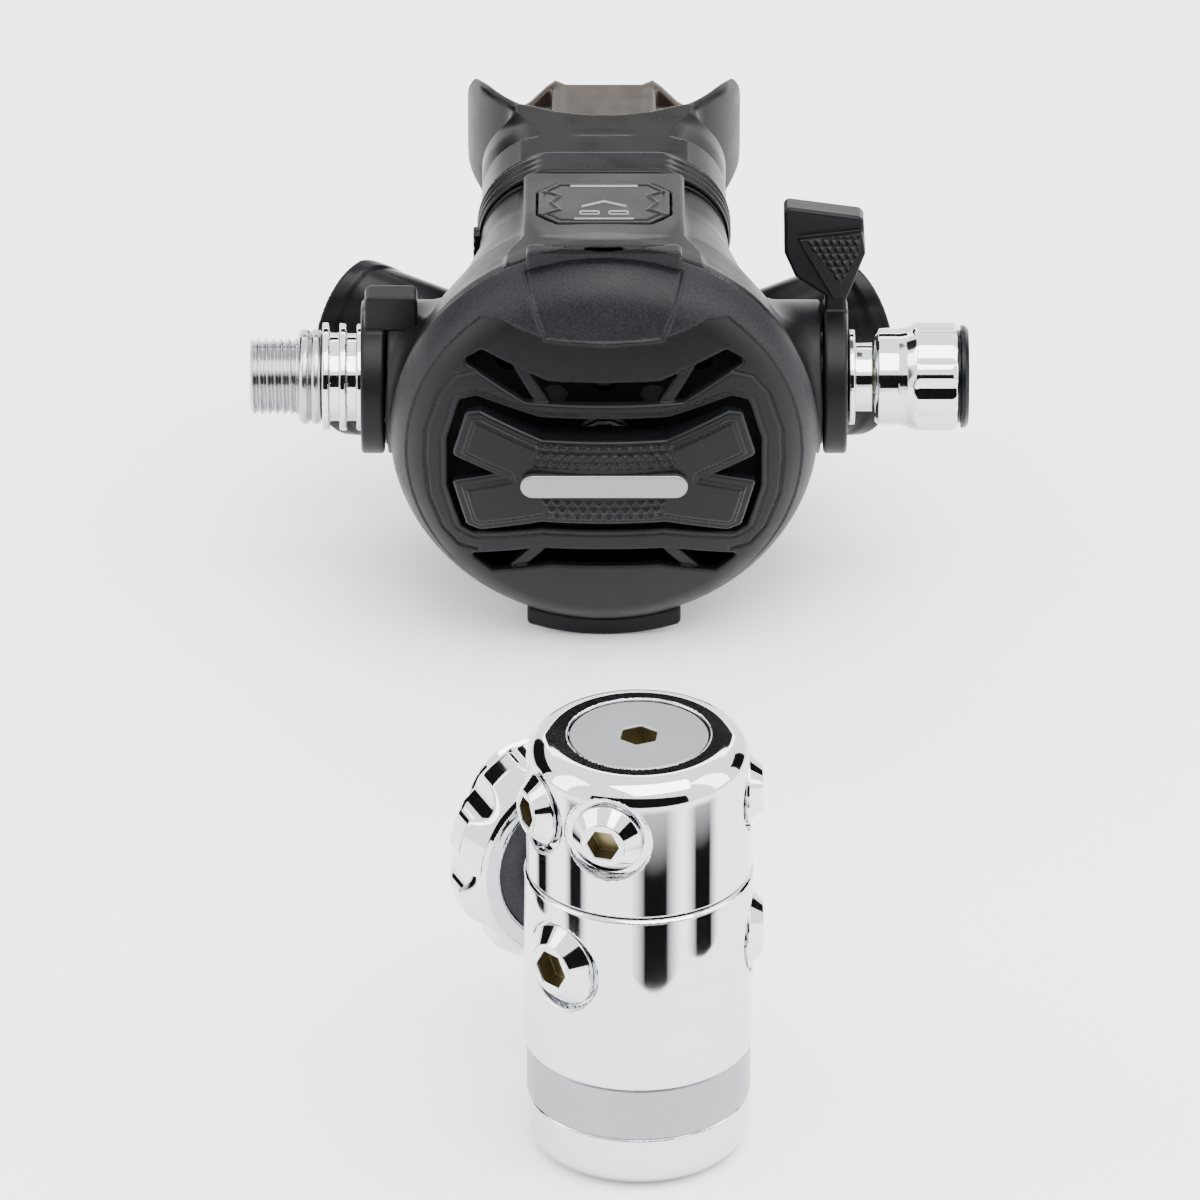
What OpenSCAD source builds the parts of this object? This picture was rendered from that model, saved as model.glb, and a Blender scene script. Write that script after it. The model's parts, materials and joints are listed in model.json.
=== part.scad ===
// Two-stage breathing regulator set: a demand valve (second stage) with its mouthpiece, and a
// pressure-reducing first stage with a swivelling turret and a screw-in cylinder connector.
// Millimetres. +Z is up, +Y points away from the front cover towards the mouthpiece.
// The origin is on the standing surface, at the middle of the set's bounding box.

/* [Second stage] */
// Radius of the round front cover
cover_r = 40; // [38:0.5:42]
// How far the cover's dome stands forward of its widest line
dome_h = 11; // [10.5:0.5:11.5]
// Radius of the sphere that the dome is part of
dome_sphere_r = 87; // [85:1:90]
// Wall thickness of the moulded housings
wall = 2.4; // [2:0.1:2.8]
// Distance of the valve axis behind the cover's widest line
valve_y = 25; // [24.6:0.1:25.4]
// Half the distance between the ends of the case's side arms
arm_half = 41; // [40.5:0.1:41.5]

/* [First stage] */
// Radius of the first stage's body
body_r = 20; // [19.7:0.1:20.5]
// Height of the first stage
fs_h = 80.7; // [80:0.1:82]
// Height of the cylinder connector's axis
din_z = 42.4; // [42:0.1:43]
// Turn of the first stage about its own upright axis
fs_turn = 23; // [15:1:30]

/* [Placing] */
// Distance from the first stage's axis to the cover's widest line
stage_gap = 178; // [170:1:190]

/* [Hidden] */
$fn = 96;

// ---- placing of the two stages ----
lean = 4;                          // the stage stands leaning forward
stand_h = 42.72;                   // height of the cover's centre above the standing surface
ss_pos = [-1, 52.2, stand_h];      // the cover's centre, on its widest line
fs_pos = [5, ss_pos[1] - stage_gap, 0];

// ---- second stage, seen from its own centre ----
rim_r = 37.3;                      // case rim, inside the cover's skirt
skirt_y = 5.6;                     // where the cover's skirt ends
stack_y = 2.8;                     // front of the stack: cover plate, then diaphragm
arm_r = 14.4;
barrel_r = 6.5;
neck_z = 19;                       // centre of the mouthpiece tube
neck_half = [20.8, 11];            // its half width and half height at the mouthpiece
neck_end = 56;
collar_y = 42.6;                   // where the mouthpiece's sleeve starts
dome_edge_r = 35.5;                // where the dome turns into the rim's rounding
dome_centre_y = dome_sphere_r - dome_h;
dome_edge_a = asin(dome_edge_r / dome_sphere_r);
rim_fillet = (cover_r - dome_edge_r) / (1 - sin(dome_edge_a));
rim_y = dome_centre_y - dome_sphere_r * cos(dome_edge_a) + rim_fillet * cos(dome_edge_a);
exhaust_tilt = 50;                 // the exhaust port points back and this far below level
exhaust_pos = [0, 34, -19];
hinge_pos = [8.4, 18.2, 0];        // demand lever's pivot
steel = "silver";
chrome = "gainsboro";
black = "#2b2c30";

// ---- first stage, seen from the middle of its foot ----
cap_h = 10.5;
clamp_top = 20.4;
body_top = 54.7;
turret_r = 19.6;
port_r = 4.7625;                   // low-pressure port, 3/8 inch thread
gauge_port_r = 5.556;             // high-pressure port, 7/16 inch thread
lp_angles = [-89, -40, 67.5, 116]; // the last port is left open
gauge_angles = [-68, 68];
lp_z = 70;
port_face = 18.1;                  // distance from the axis to a port's seat
wheel_r = 22;
din_r = 11.45;                     // G 5/8 male thread

module in_second_stage() { translate(ss_pos) rotate([lean, 0, 0]) children(); }
module in_first_stage() { translate(fs_pos) rotate([0, 0, fs_turn]) children(); }
// Turns a shape made along +Z so that it lies along +Y, or along +X.
module along_y(at = [0, 0, 0]) { translate(at) rotate([-90, 0, 0]) children(); }
module along_x(at = [0, 0, 0]) { translate(at) rotate([0, 90, 0]) children(); }
// Puts a shape made along +Z on a first-stage port, pointing outwards.
module at_port(angle, z, from = 0) {
    rotate([0, 0, angle]) translate([0, -from, z]) rotate([90, 0, 0]) children();
}
module tube(r_out, r_in, h) {
    difference() {
        cylinder(r = r_out, h = h);
        translate([0, 0, -1]) cylinder(r = r_in, h = h + 2);
    }
}
// A rounded bar, seen end on: half sizes are [x, y] and the shorter one is the end radius.
module stadium(half) {
    circle(r = half[1]);
    for (s = [-1, 1]) translate([s * (half[0] - half[1]), 0]) circle(r = half[1]);
    square([2 * (half[0] - half[1]), 2 * half[1]], center = true);
}
// A straight oval along Y at height z.
module oval_y(half, from, to, z = neck_z) {
    along_y([0, from, z]) linear_extrude(to - from) stadium(half);
}
// A helical wire along +Z: closed ends, round wire.
module coil(r, wire, h, turns) {
    steps = 14;
    sides = 8;
    n = round(steps * turns);
    ring = [for (k = [0 : sides - 1]) 360 * k / sides];
    points = [for (i = [0 : n]) let (a = 360 * i / steps, z = wire + (h - 2 * wire) * i / n)
        for (t = ring) [(r + wire * cos(t)) * cos(a), (r + wire * cos(t)) * sin(a), z + wire * sin(t)]];
    sides_f = [for (i = [0 : n - 1]) for (k = [0 : sides - 1]) let (m = (k + 1) % sides)
        [i * sides + k, (i + 1) * sides + k, (i + 1) * sides + m, i * sides + m]];
    start = [[for (k = [0 : sides - 1]) k]];
    end = [[for (k = [sides - 1 : -1 : 0]) n * sides + k]];
    polyhedron(points, concat(sides_f, start, end), convexity = 10);
}
function arc(centre, r, from, to, n = 10) =
    [for (i = [0 : n]) let (a = from + (to - from) * i / n) centre + r * [cos(a), sin(a)]];

/* ---- front cover and purge ---- */
// Outline of the purge button: a bow tie with a notch in each end.
function button_outline() = let (right = [[0, 8.4], [11.5, 8.4], [23, 13], [25.6, 12.2],
        [28.2, 3], [20.5, 0.2], [28.2, -2.6], [25.6, -12.2], [23, -13], [11.5, -9.6], [0, -9.6]])
    concat(right, [for (i = [len(right) - 2 : -1 : 1]) [-right[i][0], right[i][1]]]);
function button_opening() = let (right = [[0, 11.8], [12, 11.8], [23.6, 14.6], [26.6, 13.4],
        [29, 5], [29, -5], [26.6, -13.8], [24, -15], [11.5, -12.2], [0, -12.2]])
    concat(right, [for (i = [len(right) - 2 : -1 : 1]) [-right[i][0], right[i][1]]]);
// The vent slots: `s` is 1 above the button and -1 below it.
function slot_outline(s) = let (right = s > 0
        ? [[0, 18.9], [10.4, 18.9], [22.6, 23.6], [26.2, 21], [14.6, 14.6], [0, 14.6]]
        : [[0, -17], [12, -17.2], [25, -20.6], [20.7, -24.2], [10, -21.2], [0, -21.2]])
    concat(right, [for (i = [len(right) - 2 : -1 : 1]) [-right[i][0], right[i][1]]]);
// A strut that crosses a slot at an angle, on side `t`.
function strut_outline(s, t) = let (low = s > 0 ? 14 : 16.4, high = s > 0 ? 21.6 : 23)
    [[t * 9.8, s * low], [t * 12.6, s * low], [t * 17.6, s * high], [t * 14.8, s * high]];
// Cuts or extrudes an outline drawn in X and Z, from y0 to y1.
module front_prism(outline, y0, y1) {
    translate([0, y1, 0]) rotate([90, 0, 0]) linear_extrude(y1 - y0) polygon(outline);
}
module dome_profile(inset) {
    n = 12;
    face = [for (i = [0 : n]) let (a = dome_edge_a * i / n)
        [(dome_sphere_r - inset) * sin(a), dome_centre_y - (dome_sphere_r - inset) * cos(a)]];
    rim = arc([cover_r - rim_fillet, rim_y], rim_fillet - inset, dome_edge_a - 90, 0, 8);
    polygon(concat(face, [for (i = [1 : 8]) rim[i]], [[cover_r - inset, skirt_y], [0, skirt_y]]));
}
module front_cover() color(black) in_second_stage() difference() {
    union() {
        difference() {
            along_y() rotate_extrude() dome_profile(0);
            along_y([0, 0, 0]) rotate_extrude() dome_profile(wall);
            along_y([0, skirt_y - 0.6, 0]) cylinder(r = cover_r - wall, h = 2);
        }
        front_tab();
    }
    front_prism(button_opening(), -dome_h - 1, 1);
    for (s = [-1, 1]) difference() {
        front_prism(slot_outline(s), -dome_h - 1, 1);
        for (t = [-1, 1]) front_prism(strut_outline(s, t), -dome_h - 2, 2);
    }
}
// Grip lip at the bottom of the cover, on which the case stands.
module front_tab() {
    tab_y = 2;
    tab_r = (stand_h + tab_y * sin(lean)) / cos(lean);
    difference() {
        intersection() {
            along_y([0, tab_y, 0]) cylinder(r = tab_r, h = skirt_y - tab_y);
            translate([-14.4, tab_y - 1, -44]) cube([28.8, 14, 14]);
        }
        along_y([0, tab_y - 1, 0]) cylinder(r = cover_r - 1, h = 14);
    }
}
module purge_button() color(black) in_second_stage() {
    back = -6;
    difference() {
        intersection() {
            front_prism(button_outline(), -dome_h - 3, back);
            along_y([0, dome_centre_y, 0]) sphere(r = dome_sphere_r + 2, $fn = 128);
        }
        along_y([0, back - 3.8, 0]) tube(6.4, 4.4, 5);
        along_y([0, -dome_h - 4, -0.5]) linear_extrude(3.1) stadium([15.55, 2.45]);
    }
    along_y([0, back - 4.2, 0]) cylinder(r = 3.9, h = stack_y + 11.6);
}
module purge_badge() color(steel) in_second_stage()
    along_y([0, -dome_h - 2.5, -0.5]) linear_extrude(1.6) stadium([15.5, 2.4]);
module purge_spring() color(steel) in_second_stage()
    along_y([0, -5.9, 0]) coil(5.4, 0.35, stack_y + 5.8, 4);
module diaphragm_cover() color(black) in_second_stage() difference() {
    along_y([0, stack_y, 0]) cylinder(r = 35.9, h = 1.6);
    along_y([0, stack_y - 1, 0]) cylinder(r = 4.4, h = 4);
    for (a = [0 : 45 : 315], r = [13, 25]) along_y([r * cos(a), stack_y - 1, r * sin(a)])
        cylinder(r = 2.6, h = 4);
}
module diaphragm() color("dimgray") in_second_stage() {
    along_y([0, stack_y + 1.7, 0]) tube(35.9, 33.8, 2.2);
    along_y([0, stack_y + 2.4, 0]) tube(35, 15.3, 0.8);
}
module diaphragm_plate() color("whitesmoke") in_second_stage()
    along_y([0, stack_y + 2, 0]) cylinder(r = 15, h = 1.6);

/* ---- case ---- */
module exhaust_frame() { translate(exhaust_pos) rotate([-90 - exhaust_tilt, 0, 0]) children(); }
module case() color(black) in_second_stage() difference() {
    union() {
        along_y() rotate_extrude() polygon([[0, 3.4], [rim_r, 3.4], [rim_r, skirt_y + 0.2],
            [39.2, skirt_y + 0.2], [39.2, 8.4], [36.4, 20], [31, 31], [26, 35], [0, 35]]);
        for (s = [0, 1]) mirror([s, 0, 0]) along_x([20, valve_y, 0]) cylinder(r = arm_r, h = arm_half - 20.4);
        oval_y(neck_half + [2.1, 1.4], 12, collar_y - 0.2);
        oval_y(neck_half, 20, neck_end);
        neck_ridge();
        exhaust_frame() translate([0, 0, -6]) cylinder(r = 13.5, h = 20);
    }
    along_y() rotate_extrude() polygon([[0, 0], [36, 0], [36, stack_y + 4], [33.2, stack_y + 4], [33.2, 18],
        [28, 30], [24, 32.4], [0, 32.4]]);
    along_x([-arm_half - 2, valve_y, 0]) cylinder(r = 8.6, h = 2 * arm_half + 4);
    oval_y(neck_half - [wall, wall], 22, neck_end + 2);
    exhaust_frame() translate([0, 0, -12]) cylinder(r = 11, h = 28);
    badge_frame() translate([0, 0, -1.3]) linear_extrude(4) badge_outline(0.3);
}
// Raised middle of the neck, which carries the badge.
module neck_ridge() {
    for (w = [[15, 0], [13.6, 0.9]]) translate([-w[0], 0, 0]) rotate([90, 0, 90]) linear_extrude(2 * w[0])
        polygon([[8.8, 28], [8.8, 37.2 + w[1]], [41.8, 33.4 + w[1]], [41.8, 28]]);
}
module badge_frame() { translate([0, 27.4, 36.1]) rotate([-6.6, 0, 0]) children(); }
module badge_outline(gap) {
    w = 12.2 + gap;
    h = 9 + gap;
    polygon([[-w + 3.6, -h], [w - 3.6, -h], [w, -h + 4], [w, h - 4], [w - 3.6, h], [-w + 3.6, h], [-w, h - 4],
        [-w, -h + 4]]);
}
module badge_plate() color("dimgray") in_second_stage()
    badge_frame() translate([0, 0, -1.2]) linear_extrude(1.5) badge_outline(0);
/* ---- demand valve, along X ---- */
module valve_barrel() color(chrome) in_second_stage() difference() {
    along_x([-arm_half + 0.6, valve_y, 0]) cylinder(r = barrel_r, h = 2 * arm_half - 1.2);
    along_x([-arm_half - 1, valve_y, 0]) cylinder(r = 4.6, h = 2 * arm_half + 2);
    translate([4, valve_y - 8, -3.8]) cube([9, 8, 7.6]);
    translate([18, valve_y + 2, -3]) cube([7, 6, 6]);
}
module heat_exchanger() color(chrome) in_second_stage()
    along_x([-52.65, valve_y, 0]) difference() {
        union() {
            cylinder(r = 8.3, h = 11.9);
            for (i = [0 : 2]) translate([0, 0, i * 3.2]) cylinder(r = 10.1, h = 1.35);
        }
        translate([0, 0, -1]) cylinder(r = 6.6, h = 14);
    }
module inlet_fitting() color(chrome) in_second_stage() difference() {
    union() {
        along_x([-66.2, valve_y, 0]) cylinder(r = 7.144, h = 9.4);
        for (x = [-57.1, -54.95]) along_x([x, valve_y, 0]) rotate_extrude()
            polygon(concat([[0, 0]], arc([7.85, 1.1], 1.1, -90, 90, 8), [[0, 2.2]]));
        along_x([-57, valve_y, 0]) cylinder(r = 7.4, h = 4.2);
        along_x([-53, valve_y, 0]) cylinder(r = 6.5, h = 12.4);
    }
    along_x([-68, valve_y, 0]) cylinder(r = 5.2, h = 8);
    along_x([-62, valve_y, 0]) cylinder(r = 4.2, h = 24);
}
module valve_orifice() color("goldenrod") in_second_stage() difference() {
    union() {
        along_x([-52, valve_y, 0]) cylinder(r = 4.1, h = 6);
        along_x([-46, valve_y, 0]) cylinder(r = 3, h = 24);
        along_x([-22, valve_y, 0]) cylinder(r1 = 4.4, r2 = 2.6, h = 4);
    }
    along_x([-53, valve_y, 0]) cylinder(r = 1.6, h = 36);
}
module poppet() color("ivory") in_second_stage() difference() {
    union() {
        along_x([-17.6, valve_y, 0]) cylinder(r = 4.2, h = 21);
        along_x([3, valve_y, 0]) cylinder(r = 1.6, h = 13);
    }
    along_x([-18, valve_y, 0]) cylinder(r = 3, h = 2.4);
}
module poppet_seat() color("darkslategray") in_second_stage()
    along_x([-17.5, valve_y, 0]) cylinder(r = 2.95, h = 1.8);
module poppet_spring() color(steel) in_second_stage()
    along_x([13.2, valve_y, 0]) coil(3.2, 0.4, 12.7, 6);
module lever_nut() color("royalblue") in_second_stage()
    along_x([9.4, valve_y, 0]) tube(3.9, 1.6, 2.4);
module spring_pad() color("ivory") in_second_stage()
    along_x([26, valve_y, 0]) cylinder(r = 4.3, h = 3);
// An arm that reaches the diaphragm plate, and a fork whose legs straddle the poppet's stem.
module demand_lever() color(steel) in_second_stage() {
    tip = [-8, stack_y + 3.75];
    foot = [hinge_pos[0], hinge_pos[1]];
    translate([0, 0, -2.2]) linear_extrude(4.4)
        polygon([tip, tip + [5.6, 2.2], foot + [0.9, -0.6], foot + [-0.5, 0.7], tip + [4.8, 3.1], tip + [0, 0.9]]);
    translate([hinge_pos[0], hinge_pos[1], -3.4]) cylinder(r = 1.1, h = 6.8);
    for (z = [-3.4, 2]) translate([0, 0, z]) linear_extrude(1.4)
        polygon([foot + [-0.9, -0.6], foot + [0.7, -0.6], foot + [0.6, 5.6], foot + [-0.7, 5.6]]);
}
module adjusting_screw() color("goldenrod") in_second_stage() union() {
    along_x([29.2, valve_y, 0]) cylinder(r = 4.2, h = 8);
    along_x([37, valve_y, 0]) cylinder(r = 3.2, h = 27);
}
module adjusting_gland() color(chrome) in_second_stage() difference() {
    union() {
        along_x([arm_half - 0.3, valve_y, 0]) cylinder(r = barrel_r, h = 9.6);
        along_x([45.7, valve_y, 0]) cylinder(r = 9, h = 1.2);
    }
    along_x([arm_half - 1, valve_y, 0]) cylinder(r = 3.27, h = 12);
}
module adjusting_knob() color(chrome) in_second_stage() difference() {
    along_x([50.6, valve_y, 0]) rotate_extrude() polygon([[0, 0], [8.3, 0], [9.05, 0.7], [9.05, 4.4], [9.4, 6],
        [10.25, 7.8], [10.25, 14.6], [9.8, 15.5], [0, 15.5]]);
    along_x([49, valve_y, 0]) cylinder(r = 6.9, h = 6);
    along_x([50, valve_y, 0]) cylinder(r = 3.25, h = 14.2);
    along_x([64.3, valve_y, 0]) cylinder(r = 8.8, h = 4);
    for (a = [18 : 36 : 342]) translate([0, valve_y, 0]) rotate([a, 0, 0]) translate([0, 0, 12.7])
        along_x([57.6, 0, 0]) cylinder(r = 3, h = 9);
}
module knob_cap() color(black) in_second_stage() {
    along_x([64.4, valve_y, 0]) cylinder(r = 8.7, h = 2.3);
    along_x([66.7, valve_y, 0]) cylinder(r1 = 9.7, r2 = 8.9, h = 1.5);
}
/* ---- venturi lever ---- */
module venturi_lever() color(black) in_second_stage() difference() {
    union() {
        along_x([arm_half, valve_y, 0]) cylinder(r = arm_r, h = 4.4);
        along_x([arm_half - 20, valve_y, 0]) cylinder(r = 8.3, h = 21);
        translate([0, valve_y, 0]) rotate([-12, 0, 0]) {
            translate([0, 3.2, 0]) rotate([90, 0, 0]) linear_extrude(6.4)
                polygon([[41.2, 10], [45.4, 10], [45.2, 17], [48.7, 26], [48.4, 31.8], [47.6, 32.6],
                    [34.2, 34.4], [33.5, 33.6], [33.6, 25.4], [35.6, 20.8], [41.2, 17]]);
            translate([0, -2, 0]) rotate([90, 0, 0]) linear_extrude(3)
                polygon([[36, 28.6], [48.1, 30], [48.7, 26], [45.2, 17], [42.6, 17]]);
        }
    }
    along_x([arm_half - 30, valve_y, 0]) cylinder(r = 6.8, h = 40);
}
module venturi_vane() color(black) in_second_stage()
    translate([arm_half - 20, valve_y, 0]) rotate([0, 90, 0]) rotate([0, 0, 200])
        rotate_extrude(angle = 50) translate([8.35, 0]) square([3.6, 5.5]);
// Fills the lever's seat on the arm that has no lever.
module blanking_plug() color(black) in_second_stage() difference() {
    union() {
        along_x([-arm_half - 4.4, valve_y, 0]) cylinder(r = arm_r, h = 4.4);
        translate([-44.6, valve_y - 5.5, 10]) cube([9.8, 5, 10.4]);
    }
    along_x([-arm_half - 10, valve_y, 0]) cylinder(r = 10.6, h = 8.4);
    along_x([-arm_half - 10, valve_y, 0]) cylinder(r = 8.5, h = 30);
    along_x([-arm_half + 0.05, valve_y, 0]) cylinder(r = arm_r + 0.1, h = 30);
}
/* ---- exhaust ---- */
module exhaust_valve() color("dimgray") in_second_stage() exhaust_frame() translate([0, 0, 14.1]) {
    difference() {
        cylinder(r1 = 12.4, r2 = 12.8, h = 0.9);
        translate([0, 0, -0.5]) cylinder(r = 1.8, h = 3);
    }
    cylinder(r = 1.8, h = 2.2);
}
tee_tip = [45, 54, -11];
tee_tip_turn = 45;                 // turn of the outlet's rim about Z
module tee_rim(inset, length) {
    translate(tee_tip) rotate([0, 0, tee_tip_turn + 90]) rotate([90, 0, 0]) rotate([0, 0, 90])
        translate([0, 0, -1]) linear_extrude(length) scale([1.5, 1]) circle(r = 12.4 - inset, $fn = 32);
}
module tee_hub(inset) {
    translate([0, 49, -27]) scale([1.4, 0.72, 1.06]) sphere(r = 18.6 - inset, $fn = 32);
}
module exhaust_tee() color(black) difference() {
    in_second_stage() difference() {
        for (s = [0, 1]) mirror([s, 0, 0]) hull() { tee_hub(0); tee_rim(0, 2); }
        for (s = [0, 1]) mirror([s, 0, 0]) hull() { tee_hub(2.2); tee_rim(2, 8); }
        exhaust_frame() translate([0, 0, -20]) cylinder(r = 13.9, h = 40);
        along_y() rotate_extrude() polygon([[0, -2], [40.8, -2], [40.8, 6.4], [39.8, 8.8], [37, 20.4],
            [31.5, 31.4], [26.2, 35.5], [0, 35.5]]);
        along_x([-47, valve_y, 0]) cylinder(r = arm_r + 0.6, h = 94);
        oval_y(neck_half + [3.8, 4.6], 10, 70, neck_z);
    }
    translate([-100, 0, -50]) cube([200, 200, 50]);
}
module tee_clip() color("darkslategray") in_second_stage()
    translate([-7, 62.6, -31]) cube([14, 2, 9]);
/* ---- mouthpiece ---- */
lip_r = 26.8;                      // the lip shield curves round the teeth
lip_y = 66.4;
module mouthpiece() color("dimgray") in_second_stage() {
    difference() {
        union() {
            oval_y(neck_half + [2.2, 2], collar_y, neck_end + 5);
            oval_y(neck_half + [1, 1], neck_end + 4, lip_y + 5);
            intersection() {
                translate([0, lip_y + lip_r, neck_z - 14]) tube(lip_r, lip_r - 2.4, 26);
                along_y([0, lip_y - 1, neck_z - 0.6]) linear_extrude(18) rounded_box([26.4, 12.6], 6);
            }
        }
        oval_y(neck_half + [0.1, 0.1], collar_y - 1, neck_end + 0.1);
        oval_y(neck_half - [wall, wall], neck_end, lip_y + 8);
    }
    bite_tabs();
}
module rounded_box(half, r) {
    square([2 * half[0], 2 * (half[1] - r)], center = true);
    square([2 * (half[0] - r), 2 * half[1]], center = true);
    for (s = [-1, 1], t = [-1, 1]) translate([s * (half[0] - r), t * (half[1] - r)]) circle(r = r);
}
// The tabs between the teeth, and the bridge over the palate that joins them.
module bite_tabs() {
    for (s = [0, 1]) mirror([s, 0, 0]) {
        translate([8, 69.2, neck_z - 4]) cube([10, 26.8, 2.6]);
        translate([8, 94, neck_z - 7]) cube([10, 2.4, 10.6]);
    }
    translate([-9, 76, neck_z + 1.4]) cube([18, 17, 1.8]);
    for (s = [0, 1]) mirror([s, 0, 0]) translate([8, 76, neck_z - 3]) cube([1.8, 18.4, 6.2]);
}
module mouthpiece_clip() color("black") in_second_stage() difference() {
    oval_y(neck_half + [3.4, 3.9], collar_y + 0.6, collar_y + 8.2);
    oval_y(neck_half + [2.25, 2.05], collar_y, collar_y + 9);
}
module second_stage_orings() color("black") in_second_stage()
    for (x = [-36, 18.4]) along_x([x, valve_y, 0]) rotate_extrude() translate([7.5, 0]) circle(r = 0.9, $fn = 32);
/* ---- first stage: body and turret ---- */
module body() color(chrome) in_first_stage() difference() {
    union() {
        translate([0, 0, clamp_top + 0.1]) rotate_extrude()
            polygon([[0, 0], [body_r - 0.4, 0], [body_r, 0.4], [body_r, 33.6], [body_r - 0.5, 34.1], [0, 34.1]]);
        translate([0, 0, din_z]) rotate([-90, 0, 0]) cylinder(r = 11.6, h = 23.4);
    }
    translate([0, 0, 15]) cylinder(r = 17.2, h = 9);
    translate([0, 0, 23.8]) cylinder(r = 10, h = 3.2);
    translate([0, 0, 26]) cylinder(r = 2.2, h = 10);
    translate([0, 0, 30.4]) cylinder(r = 5.4, h = 30);
    translate([0, 0, 47]) cylinder(r = 7.95, h = 10);
    translate([0, -14, 22]) cylinder(r = 1.7, h = 34);
    translate([0, 4.4, din_z]) rotate([-90, 0, 0]) cylinder(r = 3, h = 14);
    translate([0, 13, din_z]) rotate([-90, 0, 0]) cylinder(r = 7.05, h = 14);
    for (a = gauge_angles) {
        at_port(a, din_z, 8) cylinder(r = gauge_port_r, h = 14);
        at_port(a, din_z, port_face) cylinder(r = 8.1, h = 6);
        at_port(a, din_z, 4.4) cylinder(r = 1.5, h = 5);
    }
}
module turret() color(chrome) in_first_stage() difference() {
    translate([0, 0, body_top]) rotate_extrude() polygon(concat([[8, 0], [9.4, 0], [9.4, 1.6], [15.8, 1.6],
        [15.8, 0], [turret_r - 0.5, 0], [turret_r, 0.5]], arc([turret_r - 5, 21], 5, 0, 90, 10),
        [[12.4, 26], [12.4, 23.4], [8, 23.4], [8, 20.1], [11, 20.1], [11, 10.5], [8, 10.5]]));
    translate([0, 12.6, body_top]) cylinder(r = 1.1, h = 12);
    for (a = lp_angles) {
        at_port(a, lp_z, 9.5) cylinder(r = port_r, h = 12);
        at_port(a, lp_z, port_face) cylinder(r = 7.6, h = 6);
    }
}
oring_z = [61, 76.3];
module hex_socket(af, h) cylinder(r = af / 2 / cos(30), h = h, $fn = 6);
module turret_bolt() color(steel) in_first_stage() difference() {
    union() {
        translate([0, 0, fs_h - 2.5]) cylinder(r = 12.1, h = 2.3);
        translate([0, 0, 47.2]) cylinder(r = 7.92, h = fs_h - 2.5 - 47);
    }
    translate([0, 0, fs_h - 5]) hex_socket(6, 6);
    translate([0, 0, 46]) cylinder(r = 4.5, h = 27);
    for (a = [0, 90]) rotate([0, 0, a]) translate([-10, 0, lp_z]) rotate([0, 90, 0]) cylinder(r = 1.8, h = 20);
    for (z = oring_z) translate([0, 0, z - 0.95]) tube(9, 6.1, 1.9);
}
// A port plug, pointing outwards along +Z from its seat.
module plug(thread_r, thread_h, head_r, head_h, af) difference() {
    union() {
        translate([0, 0, -thread_h]) cylinder(r = thread_r, h = thread_h + 0.5);
        rotate_extrude() polygon([[0, 0.05], [head_r - 0.5, 0.05], [head_r, 0.5], [head_r, 1], [head_r * 0.62, head_h],
            [0, head_h]]);
    }
    translate([0, 0, head_h - 3.2]) hex_socket(af, 4);
}
module lp_plugs() color(chrome) in_first_stage()
    for (i = [0 : 2]) at_port(lp_angles[i], lp_z, port_face) plug(port_r - 0.06, 7.6, 6.3, 3.4, 5);
module gauge_plugs() color(chrome) in_first_stage()
    for (a = gauge_angles) at_port(a, din_z, port_face) plug(gauge_port_r - 0.06, 8.6, 7.5, 3.6, 6);
module turret_orings() color("black") in_first_stage()
    for (z = oring_z) translate([0, 0, z]) rotate_extrude() translate([7.05, 0]) circle(r = 0.88, $fn = 32);
/* ---- first stage: valve and spring column ---- */
module main_seat() color("goldenrod") in_first_stage() translate([0, 0, 30.5]) difference() {
    union() {
        cylinder(r = 5.3, h = 2.6);
        cylinder(r1 = 3.4, r2 = 2.4, h = 3.8);
    }
    translate([0, 0, -1]) cylinder(r = 1.75, h = 6);
}
module main_valve() color("ivory") in_first_stage() {
    translate([0, 0, 34.4]) cylinder(r = 2.9, h = 2.4);
    translate([0, 0, 36.8]) cylinder(r = 1.5, h = 8.4);
}
module main_valve_spring() color(steel) in_first_stage() translate([0, 0, 36.9]) coil(3.2, 0.35, 6.6, 4);
module balance_plug() color("goldenrod") in_first_stage() translate([0, 0, 43.6]) difference() {
    cylinder(r = 5.3, h = 3.3);
    translate([0, 0, -1]) cylinder(r = 1.6, h = 3.6);
}
module valve_lifter() color(steel) in_first_stage() {
    translate([0, 0, 22.1]) cylinder(r = 8, h = 1.2);
    translate([0, 0, 23]) cylinder(r = 1.55, h = 11.3);
}
module main_diaphragm() color("dimgray") in_first_stage() translate([0, 0, 21]) tube(16.8, 9, 1);
module diaphragm_clamp() color("silver") in_first_stage() difference() {
    union() {
        translate([0, 0, cap_h + 0.1]) cylinder(r = body_r - 0.4, h = clamp_top - cap_h - 0.1);
        translate([0, 0, cap_h - 4]) cylinder(r = 16.4, h = 5);
    }
    translate([0, 0, 0]) cylinder(r = 12, h = 30);
}
module spring_button() color(steel) in_first_stage() translate([0, 0, 18.4]) cylinder(r = 8.6, h = 3.5);
module main_spring() color(steel) in_first_stage() translate([0, 0, 9.8]) coil(7, 1.1, 8.5, 2.6);
module spring_adjuster() color("goldenrod") in_first_stage() translate([0, 0, 6.6]) tube(11.9, 5.4, 3.1);
module load_transmitter() color("ivory") in_first_stage() {
    translate([0, 0, 3.6]) cylinder(r = 11, h = 1.8);
    translate([0, 0, 5]) cylinder(r = 4.4, h = 13.3);
}
module environmental_diaphragm() color("dimgray") in_first_stage() translate([0, 0, 2.5]) cylinder(r = 16, h = 1);
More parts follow.
